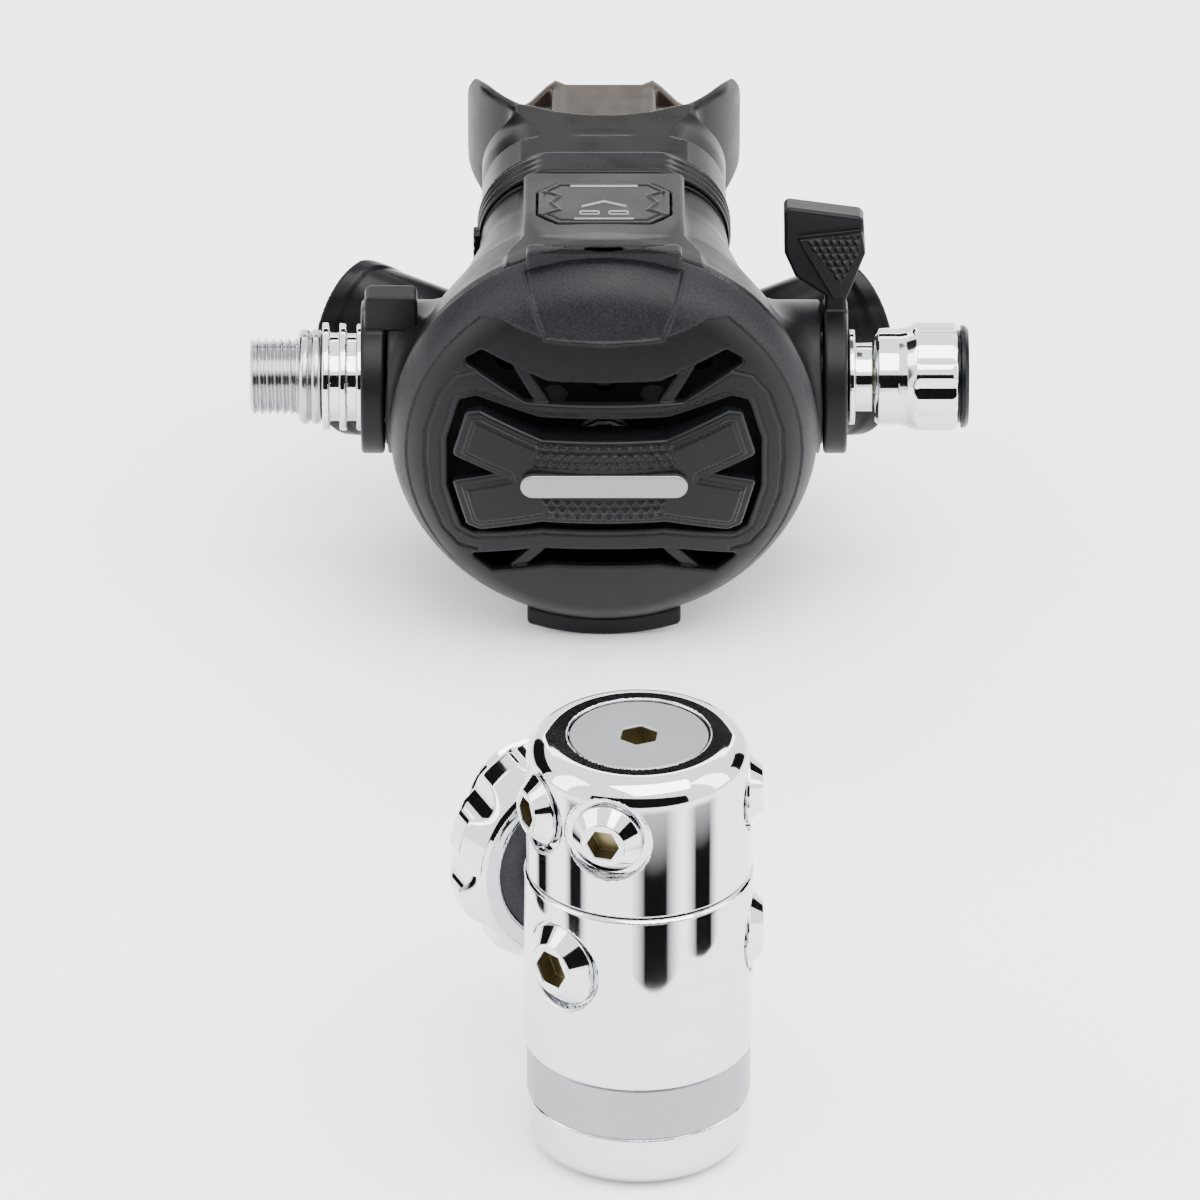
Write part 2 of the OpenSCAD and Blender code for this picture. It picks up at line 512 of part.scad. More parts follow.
module environmental_cap() color(chrome) in_first_stage() difference() {
    rotate_extrude() polygon(concat([[0, 0]], arc([19.4 - 4.5, 4.5], 4.5, -90, 0, 8),
        [[19.4, cap_h - 0.4], [19, cap_h], [0, cap_h]]));
    translate([0, 0, 2.4]) cylinder(r = 16.5, h = 20);
    translate([0, 0, -1]) cylinder(r = 11.5, h = 10);
}
/* ---- cylinder connector, made along +Z and laid towards the back ---- */
module on_connector(from) { in_first_stage() translate([0, from, din_z]) rotate([-90, 0, 0]) children(); }
module din_stem() color(steel) on_connector(13.2) difference() {
    union() {
        cylinder(r = 7, h = 24);
        translate([0, 0, 10.4]) cylinder(r = 8.2, h = 3);
        translate([0, 0, 24]) cylinder(r = 5.6, h = 15.4);
        translate([0, 0, 37]) cylinder(r = 8.4, h = 2.8);
    }
    translate([0, 0, -1]) cylinder(r = 2.6, h = 44);
    translate([0, 0, 33.6]) cylinder(r = 4, h = 8);
    translate([0, 0, 38.9]) tube(7.6, 5.8, 2);
}
module din_handwheel() color(chrome) on_connector(24.6) difference() {
    rotate_extrude() polygon([[7.07, 4], [15.6, 4], [15.6, 0.4], [16, 0], [18.6, 0], [19.4, 0.6], [wheel_r, 5],
        [wheel_r, 9.4], [20.6, 12], [7.07, 12]]);
    for (a = [0 : 36 : 324]) rotate([0, 0, a]) translate([wheel_r + 3.2, 0, -1]) cylinder(r = 5, h = 16);
}
module handwheel_inset() color("dimgray") on_connector(25.4) translate([0, 0, 0]) tube(15.5, 9.2, 3.1);
module din_thread() color(chrome) on_connector(36.7) tube(din_r, 8.6, 14.6);
module din_filter() color("goldenrod") on_connector(47) cylinder(r = 3.9, h = 3.6);
module filter_clip() color(steel) on_connector(50.7) tube(3.95, 2.9, 0.6);
module din_oring() color("black") on_connector(53.1 - 0.96) rotate_extrude() translate([6.7, 0.86]) circle(r = 0.85, $fn = 24);

case();
front_cover();
purge_button();
purge_badge();
purge_spring();
diaphragm_cover();
diaphragm();
diaphragm_plate();
demand_lever();
valve_barrel();
heat_exchanger();
inlet_fitting();
valve_orifice();
poppet();
poppet_seat();
poppet_spring();
lever_nut();
spring_pad();
adjusting_screw();
adjusting_gland();
adjusting_knob();
knob_cap();
venturi_lever();
venturi_vane();
blanking_plug();
exhaust_tee();
exhaust_valve();
tee_clip();
mouthpiece();
mouthpiece_clip();
badge_plate();
second_stage_orings();
body();
turret();
turret_bolt();
lp_plugs();
gauge_plugs();
turret_orings();
main_seat();
main_valve();
main_valve_spring();
balance_plug();
valve_lifter();
main_diaphragm();
diaphragm_clamp();
main_spring();
spring_button();
spring_adjuster();
load_transmitter();
environmental_diaphragm();
environmental_cap();
din_stem();
din_handwheel();
handwheel_inset();
din_thread();
din_filter();
filter_clip();
din_oring();
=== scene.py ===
import json
import math
import bpy
import numpy as np
from mathutils import Matrix


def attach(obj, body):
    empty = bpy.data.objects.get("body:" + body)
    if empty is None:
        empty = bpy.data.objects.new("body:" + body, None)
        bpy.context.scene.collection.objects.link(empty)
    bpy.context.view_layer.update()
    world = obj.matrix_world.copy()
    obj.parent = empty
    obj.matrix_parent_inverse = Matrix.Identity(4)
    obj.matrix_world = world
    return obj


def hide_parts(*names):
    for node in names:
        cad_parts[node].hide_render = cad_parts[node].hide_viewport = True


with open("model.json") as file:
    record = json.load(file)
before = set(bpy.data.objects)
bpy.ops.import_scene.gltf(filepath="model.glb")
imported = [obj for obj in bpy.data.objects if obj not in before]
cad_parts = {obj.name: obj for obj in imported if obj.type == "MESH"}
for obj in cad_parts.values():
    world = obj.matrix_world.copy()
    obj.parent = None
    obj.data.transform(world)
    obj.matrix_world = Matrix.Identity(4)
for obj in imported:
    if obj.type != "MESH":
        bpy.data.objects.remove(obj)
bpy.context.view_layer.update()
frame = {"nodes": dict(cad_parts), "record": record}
MM = 0.001

# ---------------------------------------------------------------- the two stages' own frames
joints = {j["name"]: j for j in frame["record"]["behaviour"]["joints"]}


def basis(y_axis, z_axis):
    y_axis, z_axis = np.array(y_axis, float), np.array(z_axis, float)
    return np.column_stack([np.cross(y_axis, z_axis), y_axis, z_axis])


slide = joints["purge_press"]["axis"]
SECOND_R = basis(slide, [0, -slide[2], slide[1]])
SECOND_O = np.array(joints["knob_turn"]["pos_m"]) - SECOND_R @ (np.array([58, 25, 0]) * MM)
FIRST_R = basis(joints["handwheel_spin"]["axis"], [0, 0, 1])
FIRST_O = np.array(joints["turret_swivel"]["pos_m"]) * [1, 1, 0]
SECOND = (SECOND_O, SECOND_R)
FIRST = (FIRST_O, FIRST_R)

# ---------------------------------------------------------------- distance functions, in millimetres


def meet(a, b, k=0.0):
    """Where both shapes are, with a rounded edge of radius k."""
    if k <= 0:
        return np.maximum(a, b)
    u, v = np.maximum(a + k, 0), np.maximum(b + k, 0)
    return np.minimum(np.maximum(a, b), -k) + np.sqrt(u * u + v * v)


def join(a, b, k=0.0):
    """Where either shape is, with a fillet of radius k between them."""
    if k <= 0:
        return np.minimum(a, b)
    u, v = np.maximum(k - a, 0), np.maximum(k - b, 0)
    return np.maximum(np.minimum(a, b), k) - np.sqrt(u * u + v * v)


def cut(a, b, k=0.0):
    return meet(a, -b, k)


def length(*parts):
    return np.sqrt(sum(p * p for p in parts))


def between(t, low, high):
    return np.abs(t - (low + high) / 2) - (high - low) / 2


def poly(px, py, pts):
    best, sign = None, None
    for i in range(len(pts)):
        (ax, ay), (bx, by) = pts[i], pts[i - 1]
        ex, ey = bx - ax, by - ay
        wx, wy = px - ax, py - ay
        t = np.clip((wx * ex + wy * ey) / (ex * ex + ey * ey + 1e-12), 0, 1)
        d = (wx - ex * t) ** 2 + (wy - ey * t) ** 2
        a, b, c = py >= ay, py < by, ex * wy > ey * wx
        flip = (a & b & c) | (~a & ~b & ~c)
        best = d if best is None else np.minimum(best, d)
        sign = flip if sign is None else sign ^ flip
    return np.where(sign, -1, 1) * np.sqrt(best)


def polyline(px, py, pts):
    best = None
    for (ax, ay), (bx, by) in zip(pts, pts[1:]):
        ex, ey = bx - ax, by - ay
        wx, wy = px - ax, py - ay
        t = np.clip((wx * ex + wy * ey) / (ex * ex + ey * ey), 0, 1)
        d = (wx - ex * t) ** 2 + (wy - ey * t) ** 2
        best = d if best is None else np.minimum(best, d)
    return np.sqrt(best)


def shrink(pts, r):
    """A polygon moved inwards by r, whatever way round it goes."""
    pts = [np.array(p, float) for p in pts]
    n = len(pts)
    area = sum(pts[i][0] * pts[(i + 1) % n][1] - pts[(i + 1) % n][0] * pts[i][1] for i in range(n))
    side = r if area > 0 else -r
    out = []
    for i in range(n):
        a, b, c = pts[i - 1], pts[i], pts[(i + 1) % n]
        u, v = (b - a) / np.linalg.norm(b - a), (c - b) / np.linalg.norm(c - b)
        nu, nv = np.array([-u[1], u[0]]), np.array([-v[1], v[0]])
        out.append(tuple(b + side * (nu + nv) / (1 + nu @ nv)))
    return out


def rounded(pts, r):
    """A polygon's distance function, with its outer corners rounded."""
    small = shrink(pts, r)
    return lambda px, py: poly(px, py, small) - r


def mirrored(pts):
    """Closes half an outline, drawn for x >= 0 from the top to the bottom, with its other half."""
    return list(pts) + [(-x, z) for x, z in reversed(pts) if x > 0]


def arc(cx, cy, r, a0, a1, n=40):
    return [(cx + r * math.cos(math.radians(a0 + (a1 - a0) * i / n)),
             cy + r * math.sin(math.radians(a0 + (a1 - a0) * i / n))) for i in range(n + 1)]


def profile(pts, r=0.25):
    """A turned profile in (radius, height), held in a table so that fine arcs cost nothing."""
    full = [(p[0], p[1]) for p in pts if p[0] > 0]
    full = full + [(-x, y) for x, y in reversed(full)]
    small = shrink(full, r)
    h = 0.1
    xs = [p[0] for p in full]
    ys = [p[1] for p in full]
    r1, y0, y1 = max(xs) + 2, min(ys) - 2, max(ys) + 2
    gx = np.arange(0, r1 + h, h)
    gy = np.arange(y0, y1 + h, h)
    table = (poly(gx[:, None], gy[None, :], small) - r).astype(np.float32)

    def distance(rad, t):
        rad, t = np.broadcast_arrays(rad, t)
        u = np.clip(rad / h, 0, len(gx) - 1.001)
        v = np.clip((t - y0) / h, 0, len(gy) - 1.001)
        i, j = u.astype(np.int32), v.astype(np.int32)
        u, v = u - i, v - j
        value = ((1 - u) * (1 - v) * table[i, j] + u * (1 - v) * table[i + 1, j]
                 + (1 - u) * v * table[i, j + 1] + u * v * table[i + 1, j + 1])
        return value + np.maximum(rad - (len(gx) - 1.001) * h, 0)
    return distance


def stadium(px, py, hx, hy):
    return length(np.maximum(np.abs(px) - (hx - hy), 0), py) - hy


def rbox(px, py, hx, hy, r):
    qx, qy = np.abs(px) - hx + r, np.abs(py) - hy + r
    return length(np.maximum(qx, 0), np.maximum(qy, 0)) + np.minimum(np.maximum(qx, qy), 0) - r


def hexagon(px, py, af):
    ax, ay = np.abs(px), np.abs(py)
    return np.maximum(ax * 0.8660254 + ay * 0.5, ay) - af / 2


def soft_step(t, w):
    s = np.clip(t / w + 0.5, 0, 1)
    return s * s * (3 - 2 * s)


def pyramids(px, py, pitch_x, pitch_y, height):
    """Rows of small pyramids, each row half a pitch along from the last."""
    row = np.floor(py / pitch_y)
    u = px / pitch_x + 0.5 * np.mod(row, 2)
    fu = np.abs(u - np.floor(u) - 0.5)
    fv = np.abs(py / pitch_y - row - 0.5)
    return height * np.clip(1 - 2.3 * np.maximum(fu, fv), 0, 1)


def net_mesh(f, lo, hi, cell):
    """Surface nets: one vertex for each cell the surface crosses, moved on to the surface."""
    n = [int(math.ceil((hi[a] - lo[a]) / cell)) + 1 for a in range(3)]
    grid = [(lo[a] + cell * np.arange(n[a])).astype(np.float32) for a in range(3)]
    field = np.empty(n, np.float32)
    slab = max(1, int(1.5e6 / (n[1] * n[2])))
    for i in range(0, n[0], slab):
        field[i:i + slab] = f(grid[0][i:i + slab, None, None], grid[1][None, :, None], grid[2][None, None, :])
    field[[0, -1]] = np.maximum(field[[0, -1]], 1e-3)
    field[:, [0, -1]] = np.maximum(field[:, [0, -1]], 1e-3)
    field[:, :, [0, -1]] = np.maximum(field[:, :, [0, -1]], 1e-3)
    inside = field < 0
    cells = (n[0] - 1, n[1] - 1, n[2] - 1)
    total = cells[0] * cells[1] * cells[2]
    sums, count = np.zeros((3, total)), np.zeros(total)
    stride = (cells[1] * cells[2], cells[2], 1)
    edges = []
    for a in range(3):
        first = [slice(None)] * 3
        second = [slice(None)] * 3
        first[a], second[a] = slice(0, -1), slice(1, None)
        crossing = inside[tuple(first)] != inside[tuple(second)]
        index = np.argwhere(crossing)
        fa = field[tuple(first)][crossing]
        fb = field[tuple(second)][crossing]
        point = index.astype(np.float64)
        point[:, a] += fa / (fa - fb)
        b, c = [(a + 1) % 3, (a + 2) % 3]
        around = []
        for ob, oc in ((0, 0), (1, 0), (1, 1), (0, 1)):
            cell_index = index.copy()
            cell_index[:, b] -= ob
            cell_index[:, c] -= oc
            flat = cell_index @ np.array(stride)
            around.append(flat)
            for k in range(3):
                sums[k] += np.bincount(flat, weights=point[:, k], minlength=total)
            count += np.bincount(flat, minlength=total)
        quad = np.stack(around, 1)
        rising = fa < fb
        quad[~rising] = quad[~rising][:, ::-1]
        edges.append(quad)
    used = np.nonzero(count)[0]
    number = np.full(total, -1, np.int64)
    number[used] = np.arange(len(used))
    verts = (sums[:, used] / count[used]).T * cell + np.array([g[0] for g in grid])
    faces = number[np.concatenate(edges)]

    def value(p):
        return f(p[:, 0], p[:, 1], p[:, 2])

    def gradient(p, e):
        g = np.empty_like(p)
        for k in range(3):
            step = np.zeros(3)
            step[k] = e
            g[:, k] = (value(p + step) - value(p - step)) / (2 * e)
        return g
    for _ in range(2):
        g = gradient(verts, 0.05)
        move = -value(verts)[:, None] * g / np.maximum((g * g).sum(1), 0.2)[:, None]
        size = np.linalg.norm(move, axis=1, keepdims=True)
        verts = verts + move * np.minimum(1, 0.4 * cell / np.maximum(size, 1e-9))
    g = gradient(verts, 0.3 * cell)
    return verts, faces, g / np.maximum(np.linalg.norm(g, axis=1, keepdims=True), 1e-9)


def solid(name, f, lo, hi, cell, place, body, nodes, material, paint=None, extra=()):
    verts, faces, normals = net_mesh(f, [v - 1.2 * cell for v in lo], [v + 1.2 * cell for v in hi], cell)
    origin, turn = place
    world = origin + (verts * MM) @ turn.T
    mesh = bpy.data.meshes.new(name)
    mesh.vertices.add(len(verts))
    mesh.vertices.foreach_set("co", world.astype(np.float32).ravel())
    mesh.loops.add(faces.size)
    mesh.loops.foreach_set("vertex_index", faces.astype(np.int32).ravel())
    mesh.polygons.add(len(faces))
    mesh.polygons.foreach_set("loop_start", np.arange(0, faces.size, 4, dtype=np.int32))
    mesh.update(calc_edges=True)
    mesh.validate()
    mesh.shade_smooth()
    mesh.materials.append(material)
    for m in extra:
        mesh.materials.append(m)
    if len(mesh.vertices) == len(normals):
        mesh.normals_split_custom_set_from_vertices((normals @ turn.T).tolist())
    if paint is not None and len(mesh.polygons) == len(faces):
        mid = verts[faces].mean(1)
        mesh.polygons.foreach_set("material_index", paint(mid[:, 0], mid[:, 1], mid[:, 2]).astype(np.int32))
    obj = bpy.data.objects.new(name, mesh)
    bpy.context.scene.collection.objects.link(obj)
    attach(obj, body)
    if nodes:
        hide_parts(*nodes)
    return obj


# ---------------------------------------------------------------- materials
class Nodes:
    """A material's node tree, built step by step."""

    def __init__(self, name):
        self.mat = bpy.data.materials.new(name)
        self.mat.use_nodes = True
        self.tree = self.mat.node_tree
        self.shader = self.tree.nodes["Principled BSDF"]
        self.where = self.tree.nodes.new("ShaderNodeTexCoord").outputs["Object"]

    def link(self, a, b):
        self.tree.links.new(a, b)

    def noise(self, scale, detail=2.0, rough=0.5, stretch=None):
        where = self.where
        if stretch:
            mapping = self.tree.nodes.new("ShaderNodeMapping")
            mapping.inputs["Scale"].default_value = stretch
            self.link(where, mapping.inputs["Vector"])
            where = mapping.outputs["Vector"]
        n = self.tree.nodes.new("ShaderNodeTexNoise")
        n.inputs["Scale"].default_value = scale
        n.inputs["Detail"].default_value = detail
        n.inputs["Roughness"].default_value = rough
        self.link(where, n.inputs["Vector"])
        return n.outputs["Fac"]

    def remap(self, value, low, high, start=0.3, end=0.7):
        m = self.tree.nodes.new("ShaderNodeMapRange")
        for key, v in (("From Min", start), ("From Max", end), ("To Min", low), ("To Max", high)):
            m.inputs[key].default_value = v
        self.link(value, m.inputs["Value"])
        return m.outputs["Result"]

    def colours(self, value, a, b, start=0.35, end=0.65):
        ramp = self.tree.nodes.new("ShaderNodeValToRGB")
        ramp.color_ramp.elements[0].position = start
        ramp.color_ramp.elements[0].color = (*a, 1)
        ramp.color_ramp.elements[1].position = end
        ramp.color_ramp.elements[1].color = (*b, 1)
        self.link(value, ramp.inputs["Fac"])
        self.link(ramp.outputs["Color"], self.shader.inputs["Base Color"])

    def bump(self, value, strength, distance, after=None):
        b = self.tree.nodes.new("ShaderNodeBump")
        b.inputs["Strength"].default_value = strength
        b.inputs["Distance"].default_value = distance
        self.link(value, b.inputs["Height"])
        if after is not None:
            self.link(after, b.inputs["Normal"])
        self.link(b.outputs["Normal"], self.shader.inputs["Normal"])
        return b.outputs["Normal"]

    def rough(self, value):
        self.link(value, self.shader.inputs["Roughness"])


def plastic(name, dark, pale, rough, grain=3000.0, depth=0.00004, strength=0.5):
    n = Nodes(name)
    fine = n.noise(grain, 1.5, 0.55)
    n.colours(fine, dark, pale)
    n.rough(n.remap(n.noise(120.0, 4.0), rough - 0.05, rough + 0.07))
    first = n.bump(fine, strength, depth)
    n.bump(n.noise(45.0, 2.0), 0.1, 0.0002, first)
    n.shader.inputs["Specular IOR Level"].default_value = 0.14
    return n.mat


def metal(name, colour, rough, scratch=0.05, stretch=(60.0, 60.0, 1500.0), dust=0.03):
    n = Nodes(name)
    fine = n.noise(1.0, 3.0, 0.6, stretch)
    n.colours(fine, tuple(c * 0.95 for c in colour), colour)
    n.rough(n.remap(n.noise(90.0, 4.0), max(0.02, rough - dust), rough + dust))
    n.bump(fine, scratch, 0.00002)
    n.shader.inputs["Metallic"].default_value = 1.0
    return n.mat


# The room is bright, so the tones of the dark plastics are low.
CHARCOAL = plastic("charcoal_grain", (0.0028, 0.0029, 0.0036), (0.0044, 0.0046, 0.0056), 0.38,
                   3800.0, 0.00003, 0.4)
COVER = plastic("charcoal_cover", (0.0028, 0.0029, 0.0036), (0.0046, 0.0048, 0.0058), 0.38,
                3800.0, 0.00004, 0.5)
COARSE = plastic("charcoal_coarse", (0.0028, 0.0029, 0.0037), (0.0120, 0.0124, 0.0150), 0.40,
                 4200.0, 0.00007, 0.7)
TRIM = plastic("satin_black", (0.0022, 0.0023, 0.0029), (0.0034, 0.0036, 0.0045), 0.28, 3800.0, 0.00002, 0.3)
RUBBER = plastic("dull_rubber", (0.001, 0.001, 0.0012), (0.0018, 0.0018, 0.0021), 0.62, 3000.0, 0.00004, 0.4)
GREY_RUBBER = plastic("grey_rubber", (0.002, 0.002, 0.0025), (0.0036, 0.0036, 0.0043), 0.6,
                      2600.0, 0.00005, 0.4)
IVORY = plastic("ivory_plastic", (0.6, 0.59, 0.54), (0.72, 0.71, 0.66), 0.45, 1800.0, 0.00003, 0.3)
INSET = plastic("grey_inset", (0.028, 0.028, 0.033), (0.04, 0.04, 0.046), 0.4, 2600.0, 0.00004, 0.4)
BLUE = metal("blue_anodised", (0.08, 0.2, 0.55), 0.3)
CHROME = metal("chrome", (0.66, 0.67, 0.69), 0.05, 0.02, dust=0.02)
SATIN = metal("satin_chrome", (0.30, 0.305, 0.32), 0.34, 0.12, (900.0, 900.0, 900.0))
INLET = metal("bright_steel", (0.42, 0.425, 0.44), 0.18, 0.06)
WIRE = metal("spring_wire", (0.55, 0.55, 0.57), 0.28, 0.1)
BRASS = metal("brass", (0.22, 0.19, 0.105), 0.38, 0.15, (800.0, 800.0, 800.0))
SILVER = metal("silver_foil", (0.24, 0.24, 0.25), 0.38, 0.08, (700.0, 700.0, 700.0))
SINTER = metal("sintered", (0.5, 0.4, 0.24), 0.6, 0.6, (2500.0, 2500.0, 2500.0))


def silicone():
    n = Nodes("smoke_silicone")
    soft = n.noise(260.0, 3.0)
    n.colours(soft, (0.0018, 0.0016, 0.0016), (0.0028, 0.0025, 0.0024))
    n.rough(n.remap(n.noise(150.0, 4.0), 0.26, 0.4))
    n.bump(n.noise(900.0, 2.0), 0.15, 0.00003)
    n.shader.inputs["Transmission Weight"].default_value = 0.02
    n.shader.inputs["IOR"].default_value = 1.41
    n.shader.inputs["Subsurface Weight"].default_value = 0.01
    n.shader.inputs["Specular IOR Level"].default_value = 0.16
    n.shader.inputs["Subsurface Radius"].default_value = (0.004, 0.003, 0.002)
    n.shader.inputs["Coat Weight"].default_value = 0.04
    n.shader.inputs["Coat Roughness"].default_value = 0.3
    return n.mat


def thin_silicone():
    n = Nodes("thin_silicone")
    soft = n.noise(300.0, 3.0)
    n.colours(soft, (0.016, 0.0108, 0.0072), (0.028, 0.020, 0.0145))
    n.rough(n.remap(n.noise(150.0, 4.0), 0.3, 0.45))
    n.bump(n.noise(900.0, 2.0), 0.15, 0.00003)
    n.shader.inputs["Transmission Weight"].default_value = 0.1
    n.shader.inputs["IOR"].default_value = 1.41
    return n.mat


SILICONE = silicone()
THIN = thin_silicone()

# ---------------------------------------------------------------- front cover
DOME_R, DOME_H, COVER_R, EDGE_R, WALL, SKIRT_Y = 87.0, 11.0, 40.0, 7.6, 2.4, 5.6
DOME_Y = DOME_R - DOME_H
OPENING = mirrored([(0, 11.8), (12, 11.8), (23.6, 14.6), (26.6, 13.4), (29, 5), (29, -5), (26.6, -13.8),
                    (24, -15), (11.5, -12.2), (0, -12.2)])
SLOT_TOP = mirrored([(0, 18.9), (10.4, 18.9), (22.6, 23.6), (26.2, 21), (14.6, 14.6), (0, 14.6)])
SLOT_LOW = mirrored([(0, -17), (12, -17.2), (25, -20.6), (20.7, -24.2), (10, -21.2), (0, -21.2)])
STRUTS = ([(9.8, 14), (12.6, 14), (17.6, 22), (14.8, 22)],
          [(9.8, -16.4), (12.6, -16.4), (17.6, -23), (14.8, -23)])
PANEL = mirrored([(0, 26.4), (11.7, 27.4), (19.1, 29.7), (22.8, 29)]
                 + arc(0, 0, 36.8, 47, -66, 24) + [(0, -37)])
BUTTON_LINE = [(24, 19.4), (27.5, 18), (30.5, 14), (33, 6), (33.2, 0), (32.5, -8), (30, -15), (27, -18.5),
               (23.6, -19)]
TRAPEZOID = mirrored([(0, 42), (16.9, 42), (10.6, 27.1), (0, 26.6)])
opening_2d, slot_top_2d, slot_low_2d = rounded(OPENING, 1.2), rounded(SLOT_TOP, 0.8), rounded(SLOT_LOW, 0.6)


def dome(x, y, z, inset):
    r = length(x, z)
    return meet(length(r, y - DOME_Y) - (DOME_R - inset), r - (COVER_R - inset), EDGE_R - inset)


TAB_Y = 2.0
LEAN = math.asin(slide[2])
TAB_R = (SECOND_O[2] / MM + TAB_Y * math.sin(LEAN)) / math.cos(LEAN)


def cover(x, y, z):
    ax = np.abs(x)
    r = length(x, z)
    outer = dome(x, y, z, 0)
    fade = soft_step(z + 22, 24)
    relief = 0.34 * soft_step(-poly(ax, z, PANEL), 0.5) * fade
    relief = relief + 0.4 * np.exp(-(polyline(ax, z, BUTTON_LINE) / 0.3) ** 2)
    trapezoid = poly(ax, z, TRAPEZOID)
    relief = relief + 0.4 * soft_step(-trapezoid, 0.4) - 0.25 * np.exp(-((trapezoid - 0.35) / 0.3) ** 2)
    lip = opening_2d(ax, z)
    relief = relief + 0.5 * np.exp(-((lip - 1.2) / 0.28) ** 2) * 0.5
    front = outer + relief * (y < 3)
    shell = cut(front, dome(x, y, z, WALL))
    hole = np.minimum(lip, np.minimum(slot_top_2d(ax, z), slot_low_2d(ax, z)))
    shell = cut(shell, hole, 0.55)
    bars = np.minimum(poly(ax, z, STRUTS[0]), poly(ax, z, STRUTS[1]))
    bars = meet(meet(bars, outer + 1.1, 0.4), -dome(x, y, z, WALL + 1.6), 0.3)
    shell = join(shell, bars, 0.3)
    shell = meet(shell, y - SKIRT_Y, 0.4)
    # The foot tab. It also comes out at the top of the rim, where the CAD cover has none.
    tab = meet(meet(r - TAB_R, 39 - r), meet(between(y, TAB_Y, SKIRT_Y), ax - 14.4, 0.8), 0.9)
    return join(shell, tab, 0.5)


def cover_paint(x, y, z):
    inner = poly(np.abs(x), z, PANEL) > 0
    return np.where((inner & (y < 5.4) & (z > -14)) | (poly(np.abs(x), z, TRAPEZOID) < 0), 1, 0)


solid("cover_shell", cover, (-40, -11, -43), (40, 5.6, 40), 0.38, SECOND, "second_stage", ["front_cover"],
      COVER, cover_paint, [COARSE])

BUTTON = mirrored([(0, 8.4), (11.5, 8.4), (23, 13), (25.6, 12.2), (28.2, 3), (20.5, 0.2), (28.2, -2.6),
                   (25.6, -12.2), (23, -13), (11.5, -9.6), (0, -9.6)])
button_2d = rounded(BUTTON, 0.9)


def button(x, y, z):
    ax, r = np.abs(x), length(x, z)
    d2 = button_2d(x, z)
    face = length(r, y - DOME_Y) - (DOME_R + 2)
    relief = 0.45 * soft_step(d2 + 1.6, 0.5) + 0.25 * np.exp(-((d2 + 2.0) / 0.25) ** 2)
    band_half = 13.2 - 0.2 * np.abs(z - 4.7)
    for low, high in ((2.9, 7.7), (-8.6, -3.8)):
        mask = (ax < band_half) & (z > low) & (z < high)
        relief = relief - mask * pyramids(x, z - low, 1.95, 1.6, 0.55)
    d = meet(face + relief, d2, 0.7)
    d = meet(d, y + 6, 0.4)
    ring = meet(between(r, 4.4, 6.4), -(y + 9.8))
    d = cut(d, ring)
    return join(d, meet(r - 3.9, between(y, -10.2, 4.2), 0.3))


solid("purge_face", button, (-28.3, -13.2, -13.2), (28.3, 4.3, 13.2), 0.28, SECOND, "purge", ["purge_button"],
      TRIM)


def bar(x, y, z):
    d2 = stadium(x, z + 0.5, 15.5, 2.4)
    return meet(d2, between(y, -13.55, -12.0), 0.35)


solid("purge_bar", bar, (-15.6, -13.6, -3), (15.6, -11.9, 2), 0.2, SECOND, "purge", ["purge_badge"],
      SILVER)

# ---------------------------------------------------------------- case
AXIS_Y, ARM_R, ARM_X = 25.0, 14.4, 41.0
NECK_Z, NECK = 19.0, (20.8, 11.0)
CASE = [(0, 3.4), (37.3, 3.4), (37.3, 5.8), (39.2, 5.8), (39.2, 8.4), (36.4, 20), (31, 31), (26, 35), (0, 35)]
CAVITY = [(0, 0), (36, 0), (36, 6.8), (33.2, 6.8), (33.2, 18), (28, 30), (24, 32.4), (0, 32.4)]
case_2d, cavity_2d = profile(CASE, 0.5), profile(CAVITY, 0.3)
BADGE_TILT = math.radians(6.6)
DUCT_COS, DUCT_SIN = 0.6428, 0.766  # the exhaust duct slopes down at 50 degrees
BADGE = mirrored([(0, 9), (8.6, 9), (12.2, 5), (12.2, -5), (8.6, -9), (0, -9)])


def turned(y, z, cy, cz, angle):
    """Coordinates in a frame at (cy, cz), turned by -angle about X."""
    dy, dz = y - cy, z - cz
    return dy * math.cos(angle) - dz * math.sin(angle), dy * math.sin(angle) + dz * math.cos(angle)


def duct(x, y, z):
    """Distance from the exhaust duct's axis, and distance along it."""
    along = (y - 34) * DUCT_COS - (z + 19) * DUCT_SIN
    sideways = (y - 34) * DUCT_SIN + (z + 19) * DUCT_COS
    return length(x, sideways), along


